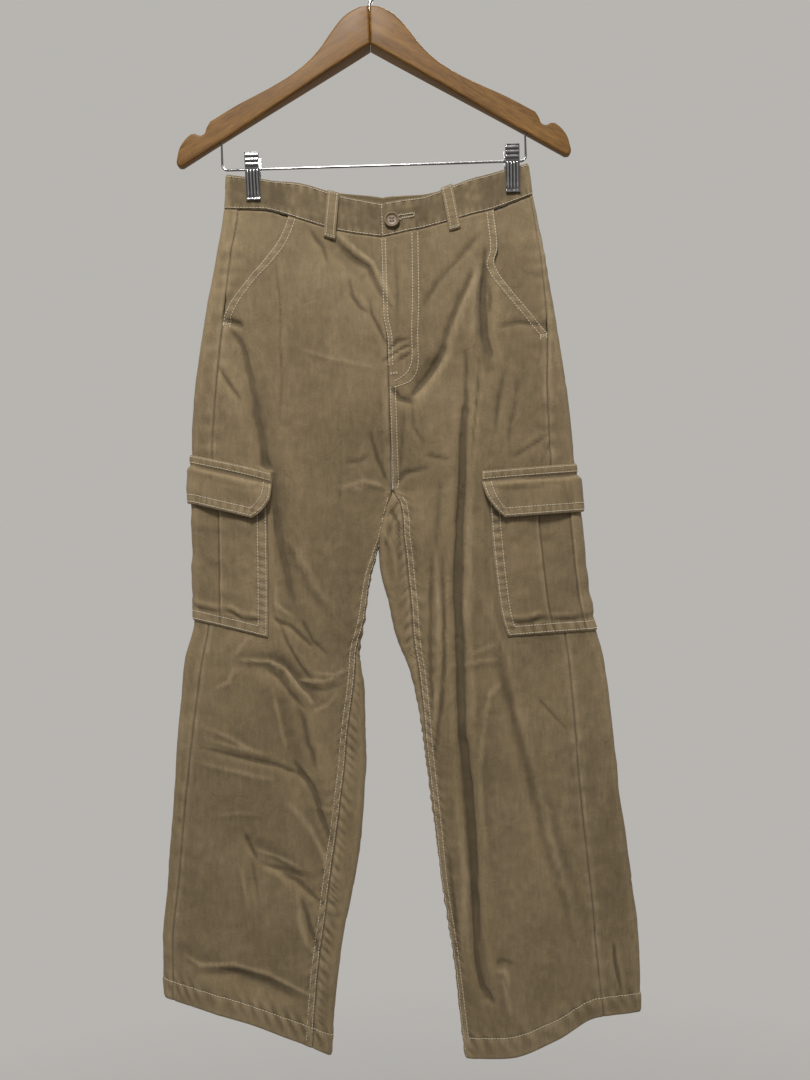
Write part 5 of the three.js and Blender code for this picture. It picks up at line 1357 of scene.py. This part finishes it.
def panel_stitches(half):
    """Slant pocket, inseam, hem, rise, fly and seat stitches of one half."""
    runs = []
    rows = rows_down(WAIST_SEAM_Z - 1, SLANT_END_Z[half] - 6)
    section = Section(half, rows)
    for inwards in (ROW_IN, FELL_WIDTH + ROW_IN):
        along = slant_along(section) + inwards
        runs.append(run_on(half, rows, along, lap_lift(section, along) + 0.35))
    rows = rows_down(CROTCH_Z - 6, HEM_Z[half] + 2)
    section = Section(half, rows)
    for inwards in (ROW_IN + 0.4, FELL_WIDTH):
        ripple = inseam_ripple(inwards + 0 * rows, rows, "rope under stitches")
        runs.append(run_on(half, rows, inseam_along(section) - inwards, 0.1 + ripple))
    runs.append(hem_stitches(half))
    if half == "right":
        rows = rows_down(LAP_END_Z + 2, CROTCH_Z + 3)
        section = Section(half, rows)
        runs += [run_on(half, rows, section.front.length - inwards, 0.25) for inwards in RISE_ROWS_IN]
        runs += fly_stitches()
        rows = rows_down(WAIST_SEAM_Z - 1, CROTCH_Z + 4)
        section = Section(half, rows)
        runs += [run_on(half, rows, inwards - section.back.length, 0.1) for inwards in SEAT_ROWS_IN]
    return runs


def hem_stitches(half):
    row_z = HEM_Z[half] + HEM_STITCH
    section = Section(half, np.full(1, row_z))
    front, back = float(section.front.length[0]), float(section.back.length[0])
    along = np.linspace(front - 0.5, 0.5 - back, int((front + back) / 1.5))
    x = surface(Section(half, np.full(along.shape, row_z)), along)[0][:, 0]
    ripple = hem_ripple(HEM_STITCH + 0 * x, x, "hem under stitches")
    return run_on(half, row_z, along, ripple - 0.15)


def fly_stitches():
    """Edge row down the lap, and the double curved row that holds the fly."""
    rows = rows_down(WAIST_SEAM_Z - 2, LAP_END_Z + 24)
    section = Section("right", rows)
    runs = []
    for inwards in FLY_ROWS_IN:
        along = section.front.length + lap_over(section) - inwards
        runs.append(run_on("right", rows, along, lap_lift(section, along) + 0.1))
    share = np.linspace(0, 1, 160)
    for shift in (0, FLY_ROW_GAP):
        heights = [z - shift for z, _ in FLY_STITCH]
        offsets = [x + shift for _, x in FLY_STITCH]
        heights[0], offsets[-1] = WAIST_SEAM_Z - 2, FLY_STITCH[-1][1]
        lengths = np.concatenate([[0], np.cumsum(np.hypot(np.diff(heights), np.diff(offsets)))])
        knots = lengths / lengths[-1]
        z = curve_through(knots, heights, share)
        section = Section("right", z)
        along = section.front.length - curve_through(knots, offsets, share)
        runs.append(run_on("right", z, along, lap_lift(section, along) + 0.1))
    return runs


def band_stitches():
    """Rows along the top and bottom of the waistband, and down its lapped end."""
    runs = []
    for z in (WAIST_SEAM_Z + BAND_ROW, BAND_TOP_Z - BAND_ROW):
        for section, along, lapped in band_parts(np.full((1, 1), z))[:4]:
            along = np.linspace(along[0, 0] - (LAP_ROW_IN if lapped else 0), along[0, -1], 160)
            runs.append(on_band(Section(section.half, np.full(along.shape, z)), along, lapped))
    rows = rows_down(BAND_TOP_Z - 4, WAIST_SEAM_Z + 3)
    section = Section("right", rows)
    runs.append(on_band(section, section.front.length + LAP_OVER - LAP_ROW_IN, True))
    return runs


def on_band(section, along, lapped, raised=-0.12):
    """A run of stitches on the waistband."""
    base, normal = base_of(section, along)
    lift = lap_lift(section, along) if lapped else 0
    return moved(base, normal, BAND_DRAPE * relief(section, along) + lift + raised), normal


def loop_stitches(loop):
    """Two rows down a belt loop, and a dense bar across each end."""
    down = np.linspace(0.03, 0.97, 60)
    across = np.linspace(-0.95, 0.95, 24)
    rows = [on_loop(loop, side, down, 0.2) for side in (-LOOP_ROW, LOOP_ROW)]
    bars = [on_loop(loop, across, np.full(across.shape, end), 0.1) for end in (0.035, 0.065, 0.93, 0.96)]
    return rows, bars


def on_loop(loop, across, down, sunk):
    section, along, lift = loop_grid(loop, across, down)
    base, normal = base_of(section, along)
    return moved(base, normal, lift + LOOP["thick"] - sunk), normal


def pocket_run(half, across, down):
    section, along, plain = pocket_place(half, across, down)
    base, normal = base_of(section, along)
    return moved(base, normal, plain + pocket_relief(half, across, down) + 0.12), normal


def pocket_stitches(half):
    """Double rows round a cargo pocket, its flap and the flap's band."""
    runs = []
    height = pocket_height(half)
    for row in POCKET_ROWS_IN:
        down = np.linspace(2, height - row, 110)
        reach = POCKET_HALF_WIDTH - row
        runs += [pocket_run(half, np.full(down.shape, sign * reach), down) for sign in (-1, 1)]
        across = np.linspace(-reach, reach, 100)
        runs.append(pocket_run(half, across, np.full(across.shape, height - row)))
    for row in BAND_ROWS_DOWN:
        runs.append(flap_run(half, np.linspace(1 - FLAP_HALF, FLAP_HALF - 1, 100), np.full(100, row)))
    for row in FLAP_ROWS_IN:
        drop = np.linspace(12, FLAP_LENGTH - row, 50)
        runs += [flap_run(half, sign * flap_side_place(drop, row), drop) for sign in (-1, 1)]
        foot = np.full(100, FLAP_LENGTH - row)
        reach = float(flap_side_place(foot[:1], row)[0])
        runs.append(flap_run(half, np.linspace(-reach, reach, 100), foot))
    return runs


def flap_side_place(drop, row):
    """Place on the flap, before its sides draw in, that is a row's distance in from its side."""
    half_width = flap_column(1, drop)
    place = half_width - row
    for _ in range(6):
        place = place + half_width - row - drawn_in(place, half_width)
    return place


def flap_run(half, place, drop):
    section, along, lift, side_in = flap_place(half, place, drop)
    base, normal = base_of(section, along)
    bumps = np.maximum(flap_relief(half, place, drop, side_in), FLAP_DEEPEST)
    return moved(base, normal, lift + CLOTH + bumps + 0.12), normal


WIRE_END = 0.72


def solid_of_rings(name, rings, finish):
    """A closed tube or turned form from rings of points, each ring a closed loop."""
    rings = np.asarray(rings, float)
    count, sides = rings.shape[:2]
    points = np.concatenate([rings.reshape(-1, 3), rings[0].mean(0)[None], rings[-1].mean(0)[None]])
    index = np.arange(count * sides).reshape(count, sides)
    quads = [ring_walls(index)]
    for middle, ring, step in ((count * sides, index[0], -1), (count * sides + 1, index[-1], 1)):
        even, before, after = ring[::2], np.roll(ring, 1)[::2], np.roll(ring, -1)[::2]
        outer = (after, even, before)[::-step]
        quads.append(np.stack([np.full(sides // 2, middle), *outer], -1))
    return mesh_piece(name, points, np.concatenate(quads), finish)


def metal_wire(node_name, part, path, wire, sides=18):
    rings = tube_rings(path, wire, sides)
    piece = solid_of_rings(f"{node_name}_{part}", rings, METAL_FINISH)
    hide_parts(node_name)
    return piece


def tube_rings(path, radius, sides):
    """Rings of a round wire along a path, drawn in at its ends."""
    path = np.asarray(path, float)
    ahead = np.gradient(path, axis=0)
    ahead /= np.linalg.norm(ahead, axis=1, keepdims=True)
    up = np.array((0.0, 1.0, 0.0))
    if abs(ahead[0] @ up) > 0.9:
        up = np.array((1.0, 0.0, 0.0))
    turn = 2 * math.pi * np.arange(sides) / sides
    shares = np.ones(len(path))
    shares[0] = shares[-1] = WIRE_END
    rings = []
    for point, tangent, share in zip(path, ahead, shares):
        side = np.cross(up, tangent)
        side /= np.linalg.norm(side)
        up = np.cross(tangent, side)
        around = side * np.cos(turn)[:, None] + up * np.sin(turn)[:, None]
        rings.append(point + radius * share * around)
    return rings


def smooth_path(points, count):
    """Evenly spaced points on a smooth curve through the given ones."""
    points = np.asarray(points, float)
    total = np.concatenate([[0], np.cumsum(np.linalg.norm(np.diff(points, axis=0), axis=1))])
    at = np.linspace(0, total[-1], count)
    return np.stack([curve_through(total, points[:, k], at) for k in range(3)], 1)


# Hanger sizes
ARM_DEPTH = {"neck": 22, "tip": 11}
ARM_SPAN = 222
ARM_TOP_Z = -60
ARM_UNDER = {"neck_z": -103, "tip_x": 216, "tip_z": -231.5}
ARM_BEVEL = 2.6
ARM_SHARP = math.radians(32)
GRAIN = {"along": 9, "across": 110, "apart": 3}
ARM_SHOULDER = (
    (0.15, -60), (14, -62.5), (30, -72.5), (44, -89), (56, -105), (70, -119.5), (90, -134),
    (116, -148), (152, -165), (183, -182.5),
)
ARM_NOTCH = ((187, -189), (189.5, -195.5), (194.5, -197.8), (200, -195.5))
ARM_TIP = ((205, -196), (212, -202), (218.5, -212), (222, -226))
ARM_CORNER = ((221.8, -229.2), (219.8, -231.2))
ARM_ROUNDING = (0, 0.2, 0.45, 0.75, 1.0)
HOOK = {"wire": 2, "radius": 21, "stem": 22}
HOOK_NECK = ((0, -62), (0.4, -54), (3.5, -48), (9.5, -42))
HOOK_TURN = (-45, 200)
BAR = {"wire": 1.3, "half": 171.5, "z": -236, "bend": 6, "socket": 9}


def rounded(points, count):
    """A smooth line through points in a plane."""
    points = np.asarray(points, float)
    padded = np.concatenate([2 * points[:1] - points[1:2], points, 2 * points[-1:] - points[-2:-1]])
    out = []
    for i in range(len(points) - 1):
        a, b, c, d = padded[i : i + 4]
        for t in np.linspace(0, 1, count, endpoint=False):
            out.append(0.5 * (2 * b + (c - a) * t + (2 * a - 5 * b + 4 * c - d) * t * t
                              + (3 * b - a - 3 * c + d) * t**3))
    return out + [points[-1]]


def arm_outline():
    line = rounded(ARM_SHOULDER, 6) + rounded(ARM_NOTCH, 5) + rounded(ARM_TIP, 6)
    under = np.array((ARM_UNDER["tip_x"], ARM_UNDER["tip_z"]))
    neck = np.array((ARM_SHOULDER[0][0], ARM_UNDER["neck_z"]))
    bottom = [mix(under, neck, t) for t in np.linspace(0, 1, 40)]
    side = [mix(neck, np.array(ARM_SHOULDER[0]), t) for t in (0.25, 0.5, 0.75)]
    return np.array(line + [np.array(corner) for corner in ARM_CORNER] + bottom + side)


def inset(outline, distance):
    """The outline drawn inwards, its corners kept."""
    ahead = np.roll(outline, -1, 0) - outline
    ahead /= np.linalg.norm(ahead, axis=1, keepdims=True)
    behind = np.roll(ahead, 1, 0)
    normal = np.stack([-(ahead + behind)[:, 1], (ahead + behind)[:, 0]], 1)
    normal /= np.linalg.norm(normal, axis=1, keepdims=True)
    area = (outline[:, 0] * np.roll(outline[:, 1], -1) - np.roll(outline[:, 0], -1) * outline[:, 1]).sum()
    share = np.clip(np.einsum("ij,ij->i", normal, np.stack([-ahead[:, 1], ahead[:, 0]], 1)), 0.6, 1)
    return outline + normal * (distance * np.sign(area) / share)[:, None]


def make_arm(half):
    """Wooden arm: its outline swept across its thickness with rounded edges."""
    direction = 1 if half == "right" else -1
    outline = arm_outline()
    half_depth = ARM_DEPTH["neck"] / 2
    rings = []
    for sign in (-1, 1):
        for t in ARM_ROUNDING[::-sign]:
            drawn = ARM_BEVEL * (1 - math.sin(t * math.pi / 2))
            across = sign * (half_depth - ARM_BEVEL * (1 - math.cos(t * math.pi / 2)))
            flat = inset(outline, drawn) if drawn > 1e-6 else outline
            taper = mix(1, ARM_DEPTH["tip"] / ARM_DEPTH["neck"], smooth_step(0, ARM_SPAN * 0.8, flat[:, 0]))
            rings.append(np.stack([direction * flat[:, 0], across * taper, flat[:, 1]], 1))
    points = np.concatenate(rings)
    index = np.arange(len(points)).reshape(len(rings), -1)
    faces = ring_walls(index).tolist() + [index[0][::-1].tolist(), index[-1].tolist()]
    name = f"hanger_arm_{half}_wood"
    mesh = bpy.data.meshes.new(name)
    mesh.from_pydata((points * MM).tolist(), [], faces)
    finish_arm(mesh, direction)
    piece = add_piece(name, mesh, WOOD_FINISH)
    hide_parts(f"hanger_arm_{half}")
    return piece


def finish_arm(mesh, direction):
    """Outward faces, fine triangles, smooth shading, and grain that runs along the arm."""
    work = bmesh.new()
    work.from_mesh(mesh)
    big = [face for face in work.faces if len(face.verts) > 4]
    bmesh.ops.triangulate(work, faces=big, quad_method="BEAUTY", ngon_method="BEAUTY")
    bmesh.ops.recalc_face_normals(work, faces=work.faces)
    for face in work.faces:
        face.smooth = True
    for edge in work.edges:
        edge.smooth = len(edge.link_faces) == 2 and edge.calc_face_angle(0) < ARM_SHARP
    work.to_mesh(mesh)
    work.free()
    place = np.zeros(len(mesh.vertices) * 3)
    mesh.vertices.foreach_get("co", place)
    place = place.reshape(-1, 3)
    slope = math.atan2(ARM_UNDER["tip_z"] - ARM_UNDER["neck_z"], ARM_UNDER["tip_x"])
    x = place[:, 0] * direction
    forward = x * math.cos(slope) + place[:, 2] * math.sin(slope)
    across = -x * math.sin(slope) + place[:, 2] * math.cos(slope)
    along, thick = GRAIN["along"], GRAIN["across"]
    grain = np.stack([forward * along, across * thick, place[:, 1] * thick + GRAIN["apart"] * direction], 1)
    attribute = mesh.attributes.new("grain", "FLOAT_VECTOR", "POINT")
    attribute.data.foreach_set("vector", grain.astype(np.float32).ravel())


def arm_underside(x):
    return mix(ARM_UNDER["neck_z"], ARM_UNDER["tip_z"], x / ARM_UNDER["tip_x"])


def make_hook():
    radius, wire = HOOK["radius"], HOOK["wire"]
    points = [(0, 0, ARM_TOP_Z - HOOK["stem"])] + [(x, 0, z) for x, z in HOOK_NECK]
    for degrees in np.linspace(*HOOK_TURN, 40):
        angle = math.radians(degrees)
        points.append((radius * math.cos(angle), 0, wire - radius + radius * math.sin(angle)))
    return metal_wire("hanger_hook", "wire", smooth_path(points, 150), wire)


def make_bar():
    half, bend = BAR["half"], BAR["bend"]
    top = arm_underside(half) + BAR["socket"]
    points = [(-half, 0, top)]
    for side in (-1, 1):
        for share in np.linspace(0, 1, 12):
            angle = math.pi / 2 * (share if side < 0 else 1 - share)
            x = side * (half - bend + bend * math.cos(angle))
            points.append((x, 0, BAR["z"] + bend - bend * math.sin(angle)))
    points.append((half, 0, top))
    return metal_wire("hanger_bar", "wire", points, BAR["wire"], 14)


# Clips
JAW_GRIP = PINCH_HALF + SEAM_GAP
JAW_INSIDE = (
    (8.6, CLIP_TOP_Z), (7.6, -226), (6.6, -232), (5.9, -238), (5.2, -246), (JAW_GRIP + 0.9, -256),
    (JAW_GRIP, -262), (JAW_GRIP, CLIP_BOTTOM_Z),
)
JAW_SHEET = 1.2
RIDGE = {"z": (-223.4, -228.2, -233.0), "height": 0.75, "half": 1.25}
RIB = {"x": (-5.4, -1.8, 1.8, 5.4), "height": 0.85, "half": 0.85}
LIP_HEIGHT = 1.1
SPRING = {"coil": 4.2, "wire": 0.75, "half": 6.2, "turns": 6, "steps": 22}


def make_jaw(half, side):
    """Bent plate with cross ridges above and upright ribs below, and a lip at its foot."""
    x = np.linspace(-CLIP_WIDTH / 2, CLIP_WIDTH / 2, 65)[None, :]
    z = np.linspace(CLIP_TOP_Z, CLIP_BOTTOM_Z, 121)[:, None]
    wide = np.abs(x)
    inside = curve_through([-row[1] for row in JAW_INSIDE], [row[0] for row in JAW_INSIDE], -z) + 0 * x
    ridges = sum(bump_at(z - place, RIDGE["half"]) for place in RIDGE["z"])
    ribs = sum(bump_at(x - place, RIB["half"]) for place in RIB["x"])
    upper = smooth_step(-219.5, -221, z) * smooth_step(-236.5, -235, z)
    lower = smooth_step(-238.5, -241, z) * smooth_step(-268.6, -266.5, z)
    stand = JAW_SHEET + RIDGE["height"] * ridges * smooth_step(8, 7, wide) + RIB["height"] * ribs * lower
    stand = stand + LIP_HEIGHT * smooth_step(-269.2, -270.2, z)
    stand = stand - 0.35 * smooth_step(7.2, 8, wide) - 0.3 * bump_at(z - CLIP_TOP_Z, 0.6)
    # Painted shade in the grooves and painted highlight on the ridges and ribs, kept as a colour attribute
    grooves = smooth_step(7.6, 6.8, wide) * (upper + lower)
    painted_light_and_shade = grooves * (0.5 - 1.25 * (ridges + ribs * lower))
    sign = -1 if side == "front" else 1
    outer, inner = (np.stack(np.broadcast_arrays(CLIP_X[half] + x, sign * y, z), -1)
                    for y in (inside + stand, inside))
    paint = (("painted_light_and_shade", outer_only(painted_light_and_shade, outer)),)
    points, faces = two_sided(outer, inner), shell_faces(*outer.shape[:2])
    piece = mesh_piece(f"clip_{side}_{half}_plate", points, faces, METAL_FINISH, paint)
    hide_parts(f"clip_{side}_{half}")
    return piece


def make_spring(half):
    """Coil round the bar, between the jaws."""
    coil, turns = SPRING["coil"], SPRING["turns"]
    angle = np.linspace(0.5 * math.pi, (0.5 + 2 * turns) * math.pi, turns * SPRING["steps"])
    x = CLIP_X[half] + np.linspace(-SPRING["half"], SPRING["half"], len(angle))
    path = np.stack([x, coil * np.cos(angle), BAR["z"] + coil * np.sin(angle)], 1)
    return metal_wire(f"clip_spring_{half}", "coil", path, SPRING["wire"], 10)


BUTTON_PROFILE = (
    (0, 1.8), (0.3, 1.82), (0.56, 1.9), (0.66, 2.15), (0.74, 2.8), (0.8, 3.25), (0.87, 3.5), (0.93, 3.42),
    (0.975, 3.05), (0.995, 2.4), (1.0, 1.6), (0.98, 0.9), (0.93, 0.35), (0.86, 0.05), (0.5, 0), (0, 0),
)


def make_button():
    """Turned four-hole button on the lap, sewn through its holes."""
    radius, hole, spread = BUTTON["radius"], BUTTON["hole"], BUTTON["spread"]
    section = Section("right", np.array([WAIST_SEAM_Z + BAND_HEIGHT / 2 - BUTTON["below"]]))
    along = along_at_x(section, BUTTON["x"], 1)
    bases, normals = base_of(section, along)
    normal = normals[0]
    foot = bases[0] + normal * (lap_lift(section, along)[0] + BUTTON["seat"])
    across = np.cross(normal, (0.0, 0.0, 1.0))
    across /= np.linalg.norm(across)
    up = np.cross(across, normal)
    turn = 2 * math.pi * np.arange(BUTTON["sides"]) / BUTTON["sides"]

    def placed(x, y, height):
        x, y, height = (part[..., None] for part in np.broadcast_arrays(x, y, height))
        return foot + x * across + y * up + height * normal

    rings = [placed(r * radius * np.cos(turn), r * radius * np.sin(turn), height)
             for r, height in rounded(BUTTON_PROFILE, 4)[1:-1]]
    piece = solid_of_rings("button_disc", rings, BUTTON_FINISH)
    drills = []
    for dx, dy in ((-1, -1), (1, -1), (1, 1), (-1, 1)):
        x, y = dx * spread + hole * np.cos(turn), dy * spread + hole * np.sin(turn)
        ends = [placed(x, y, height) for height in BUTTON["drilled"]]
        drills.append(solid_of_rings("drill", ends, BUTTON_FINISH))
    drill_holes(piece, drills)
    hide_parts("button")
    share = np.linspace(0, 1, 14)
    for number, y in enumerate((-spread, spread)):
        strand = placed(mix(-spread, spread, share), y, 1.1 + 1.25 * np.sin(math.pi * share))
        rings = tube_rings(strand, BUTTON["thread"], 8)
        solid_of_rings(f"button_thread_{number}", rings, BUTTON_FINISH)
    return piece


def drill_holes(piece, drills):
    """Cuts the drills out of a piece, and removes them."""
    bpy.context.view_layer.update()
    for drill in drills:
        cut = piece.modifiers.new("hole", "BOOLEAN")
        cut.object = drill
        cut.operation = "DIFFERENCE"
        cut.solver = "EXACT"
    graph = bpy.context.evaluated_depsgraph_get()
    finished = bpy.data.meshes.new_from_object(piece.evaluated_get(graph))
    piece.modifiers.clear()
    piece.data = finished
    for polygon in finished.polygons:
        polygon.use_smooth = True
    finished.set_sharp_from_angle(angle=math.radians(40))
    for drill in drills:
        bpy.data.objects.remove(drill)


BUTTONHOLE = {"from_x": 25, "middle_x": 34, "to_x": 43, "half": 1.9, "eye": 2.7, "neck": 2.6}


def buttonhole_stitches():
    """Close stitches round the keyhole in the lap, to the right of the button."""
    half, eye, to_x = BUTTONHOLE["half"], BUTTONHOLE["eye"], BUTTONHOLE["to_x"]
    eye_x = BUTTONHOLE["from_x"] + eye
    round_eye = [(eye_x + eye * math.cos(angle), eye * math.sin(angle))
                 for angle in np.linspace(0.22 * math.pi, 1.78 * math.pi, 20)]
    lower = [(x, -half) for x in np.linspace(eye_x + BUTTONHOLE["neck"], to_x, 18)]
    upper = [(x, half) for x, _ in lower[::-1]]
    outline = np.array(round_eye + lower + upper + round_eye[:1])
    middle_z = WAIST_SEAM_Z + BAND_HEIGHT / 2 - 1
    runs = []
    for high, wide in ((0.82, 0.97), (1.16, 1)):
        section = Section("right", middle_z + outline[:, 1] * high)
        along = along_at_x(section, mix(BUTTONHOLE["middle_x"], outline[:, 0], wide), 1)
        runs.append(on_band(section, along, True, 0.2))
    return runs


BAR_TACK_GAP = 0.9
FLY_TACK_Z = -476


def bar_tack(half, row_z, along_middle, width):
    """A dense patch of stitches that closes the end of a seam."""
    runs = []
    along = along_middle + np.linspace(-width / 2, width / 2, 14)
    for offset in (-BAR_TACK_GAP, 0, BAR_TACK_GAP):
        rows = np.full(along.shape, row_z + offset)
        runs.append(run_on(half, rows, along, lap_lift(Section(half, rows), along) + 0.2))
    return runs


cloth_pieces = []
for half in HALVES:
    cloth_pieces += [make_panel(half, "front"), make_panel(half, "back"), make_facing(half)]
    cloth_pieces += [make_pocket(half), make_flap(half)]
cloth_pieces += [make_shield(), make_waistband()]
loops = [make_loop(loop) for loop in LOOPS]

for half in HALVES:
    sew(panel_stitches(half), f"seam_stitches_{half}")
    sew(pocket_stitches(half), f"pocket_stitches_{half}")
sew(band_stitches(), "waistband_stitches")
loop_rows, loop_bars = [], []
for loop in LOOPS:
    rows_made, bars_made = loop_stitches(loop)
    loop_rows += rows_made
    loop_bars += bars_made
sew(loop_rows, "belt_loop_stitches", 0.85)
fly_end = float(Section("right", np.array([float(FLY_TACK_Z)])).front.length[0])
slant_tacks = []
for half in HALVES:
    ends = Section(half, np.array([float(SLANT_END_Z[half])]))
    slant_tacks += bar_tack(half, SLANT_END_Z[half] - 2, float(slant_along(ends)[0]) + 4, 8)
sew(loop_bars + slant_tacks + bar_tack("right", FLY_TACK_Z, fly_end - 6, 9), "bar_tacks", 0.75)
sew(buttonhole_stitches(), "buttonhole_stitches", 0.7)

make_button()
for half in HALVES:
    make_arm(half)
    make_spring(half)
    for side in ("front", "back"):
        make_jaw(half, side)
make_hook()
make_bar()


# Floor, lights and camera
FLOOR = {"z": -1.9, "radius": 1.0, "thick": 0.02, "sides": 96}
AIM = Vector((0.0215, 0.0, -0.6597))
CAMERA = {"distance": 1.0, "half_height": 0.6102, "roll": math.radians(1.8)}
# Columns name, place, aim, size, power, colour
LIGHTS = (
    ("key", (-0.15, -1.25, 0.95), (0.0, 0.0, -0.7), 0.45, 35, (1.0, 0.985, 0.96)),
    ("rear", (0.15, 1.25, 0.95), (0.0, 0.0, -0.6), 0.9, 20, (1.0, 1.0, 1.0)),
)
# World light: its colour, and its strength by height and by depth, as from, to, strength from, strength to
SKY_COLOUR = (1.0, 0.97, 0.92, 1)
SKY_BY_HEIGHT = (-0.9, -0.45, 0.4, 1.0)
SKY_BY_DEPTH = (-0.8, 0.6, 0.28, 0.475)


def make_floor():
    sides, radius = FLOOR["sides"], FLOOR["radius"]
    turn = 2 * math.pi * np.arange(sides) / sides
    points = [(radius * math.cos(a), radius * math.sin(a), FLOOR["z"] - drop)
              for drop in (0, FLOOR["thick"]) for a in turn]
    faces = [tuple(range(sides)), tuple(range(2 * sides - 1, sides - 1, -1))]
    faces += [(i, sides + i, sides + (i + 1) % sides, (i + 1) % sides) for i in range(sides)]
    finish, tree, shader = new_finish("pale_floor", (0.62, 0.61, 0.59), 0.8)
    mottle = noise(tree, place_of(tree), 3.0, Detail=3.0)
    drive(tree, shader, {"Base Color": mixed(tree, mottle, (0.58, 0.57, 0.55, 1), (0.66, 0.65, 0.63, 1))})
    mesh = bpy.data.meshes.new("floor")
    mesh.from_pydata(points, [], faces)
    mesh.materials.append(finish)
    floor = bpy.data.objects.new("floor", mesh)
    bpy.context.scene.collection.objects.link(floor)


def area_light(name, place, aim, size, power, colour):
    light = bpy.data.lights.new(name, "AREA")
    light.shape = "DISK"
    light.size, light.energy, light.color = size, power, colour
    lamp = bpy.data.objects.new(name, light)
    lamp.location = place
    lamp.rotation_euler = (Vector(aim) - Vector(place)).to_track_quat("-Z", "Y").to_euler()
    bpy.context.scene.collection.objects.link(lamp)


def make_lights():
    for row in LIGHTS:
        area_light(*row)
    world = bpy.data.worlds.new("studio")
    world.use_nodes = True
    tree = world.node_tree
    toward = node(tree, "ShaderNodeTexCoord").outputs["Generated"]
    toward = node(tree, "ShaderNodeSeparateXYZ", (), Vector=toward)
    by_height = between(tree, toward.outputs["Z"], *SKY_BY_HEIGHT)
    by_depth = between(tree, toward.outputs["Y"], *SKY_BY_DEPTH)
    strength = maths(tree, "MULTIPLY", by_height, by_depth)
    drive(tree, tree.nodes["Background"], {"Color": SKY_COLOUR, "Strength": strength})
    bpy.context.scene.world = world


def make_camera():
    lens = bpy.data.cameras.new("camera")
    lens.sensor_fit = "VERTICAL"
    lens.angle = 2 * math.atan(CAMERA["half_height"] / CAMERA["distance"])
    lens.clip_start, lens.clip_end = 0.01, 50
    camera = bpy.data.objects.new("camera", lens)
    camera.location = AIM - Vector((0, CAMERA["distance"], 0))
    camera.rotation_euler = (math.pi / 2, CAMERA["roll"], 0)
    bpy.context.scene.collection.objects.link(camera)
    bpy.context.scene.camera = camera


make_floor()
make_lights()
make_camera()
bpy.context.scene.view_settings.view_transform = "Standard"
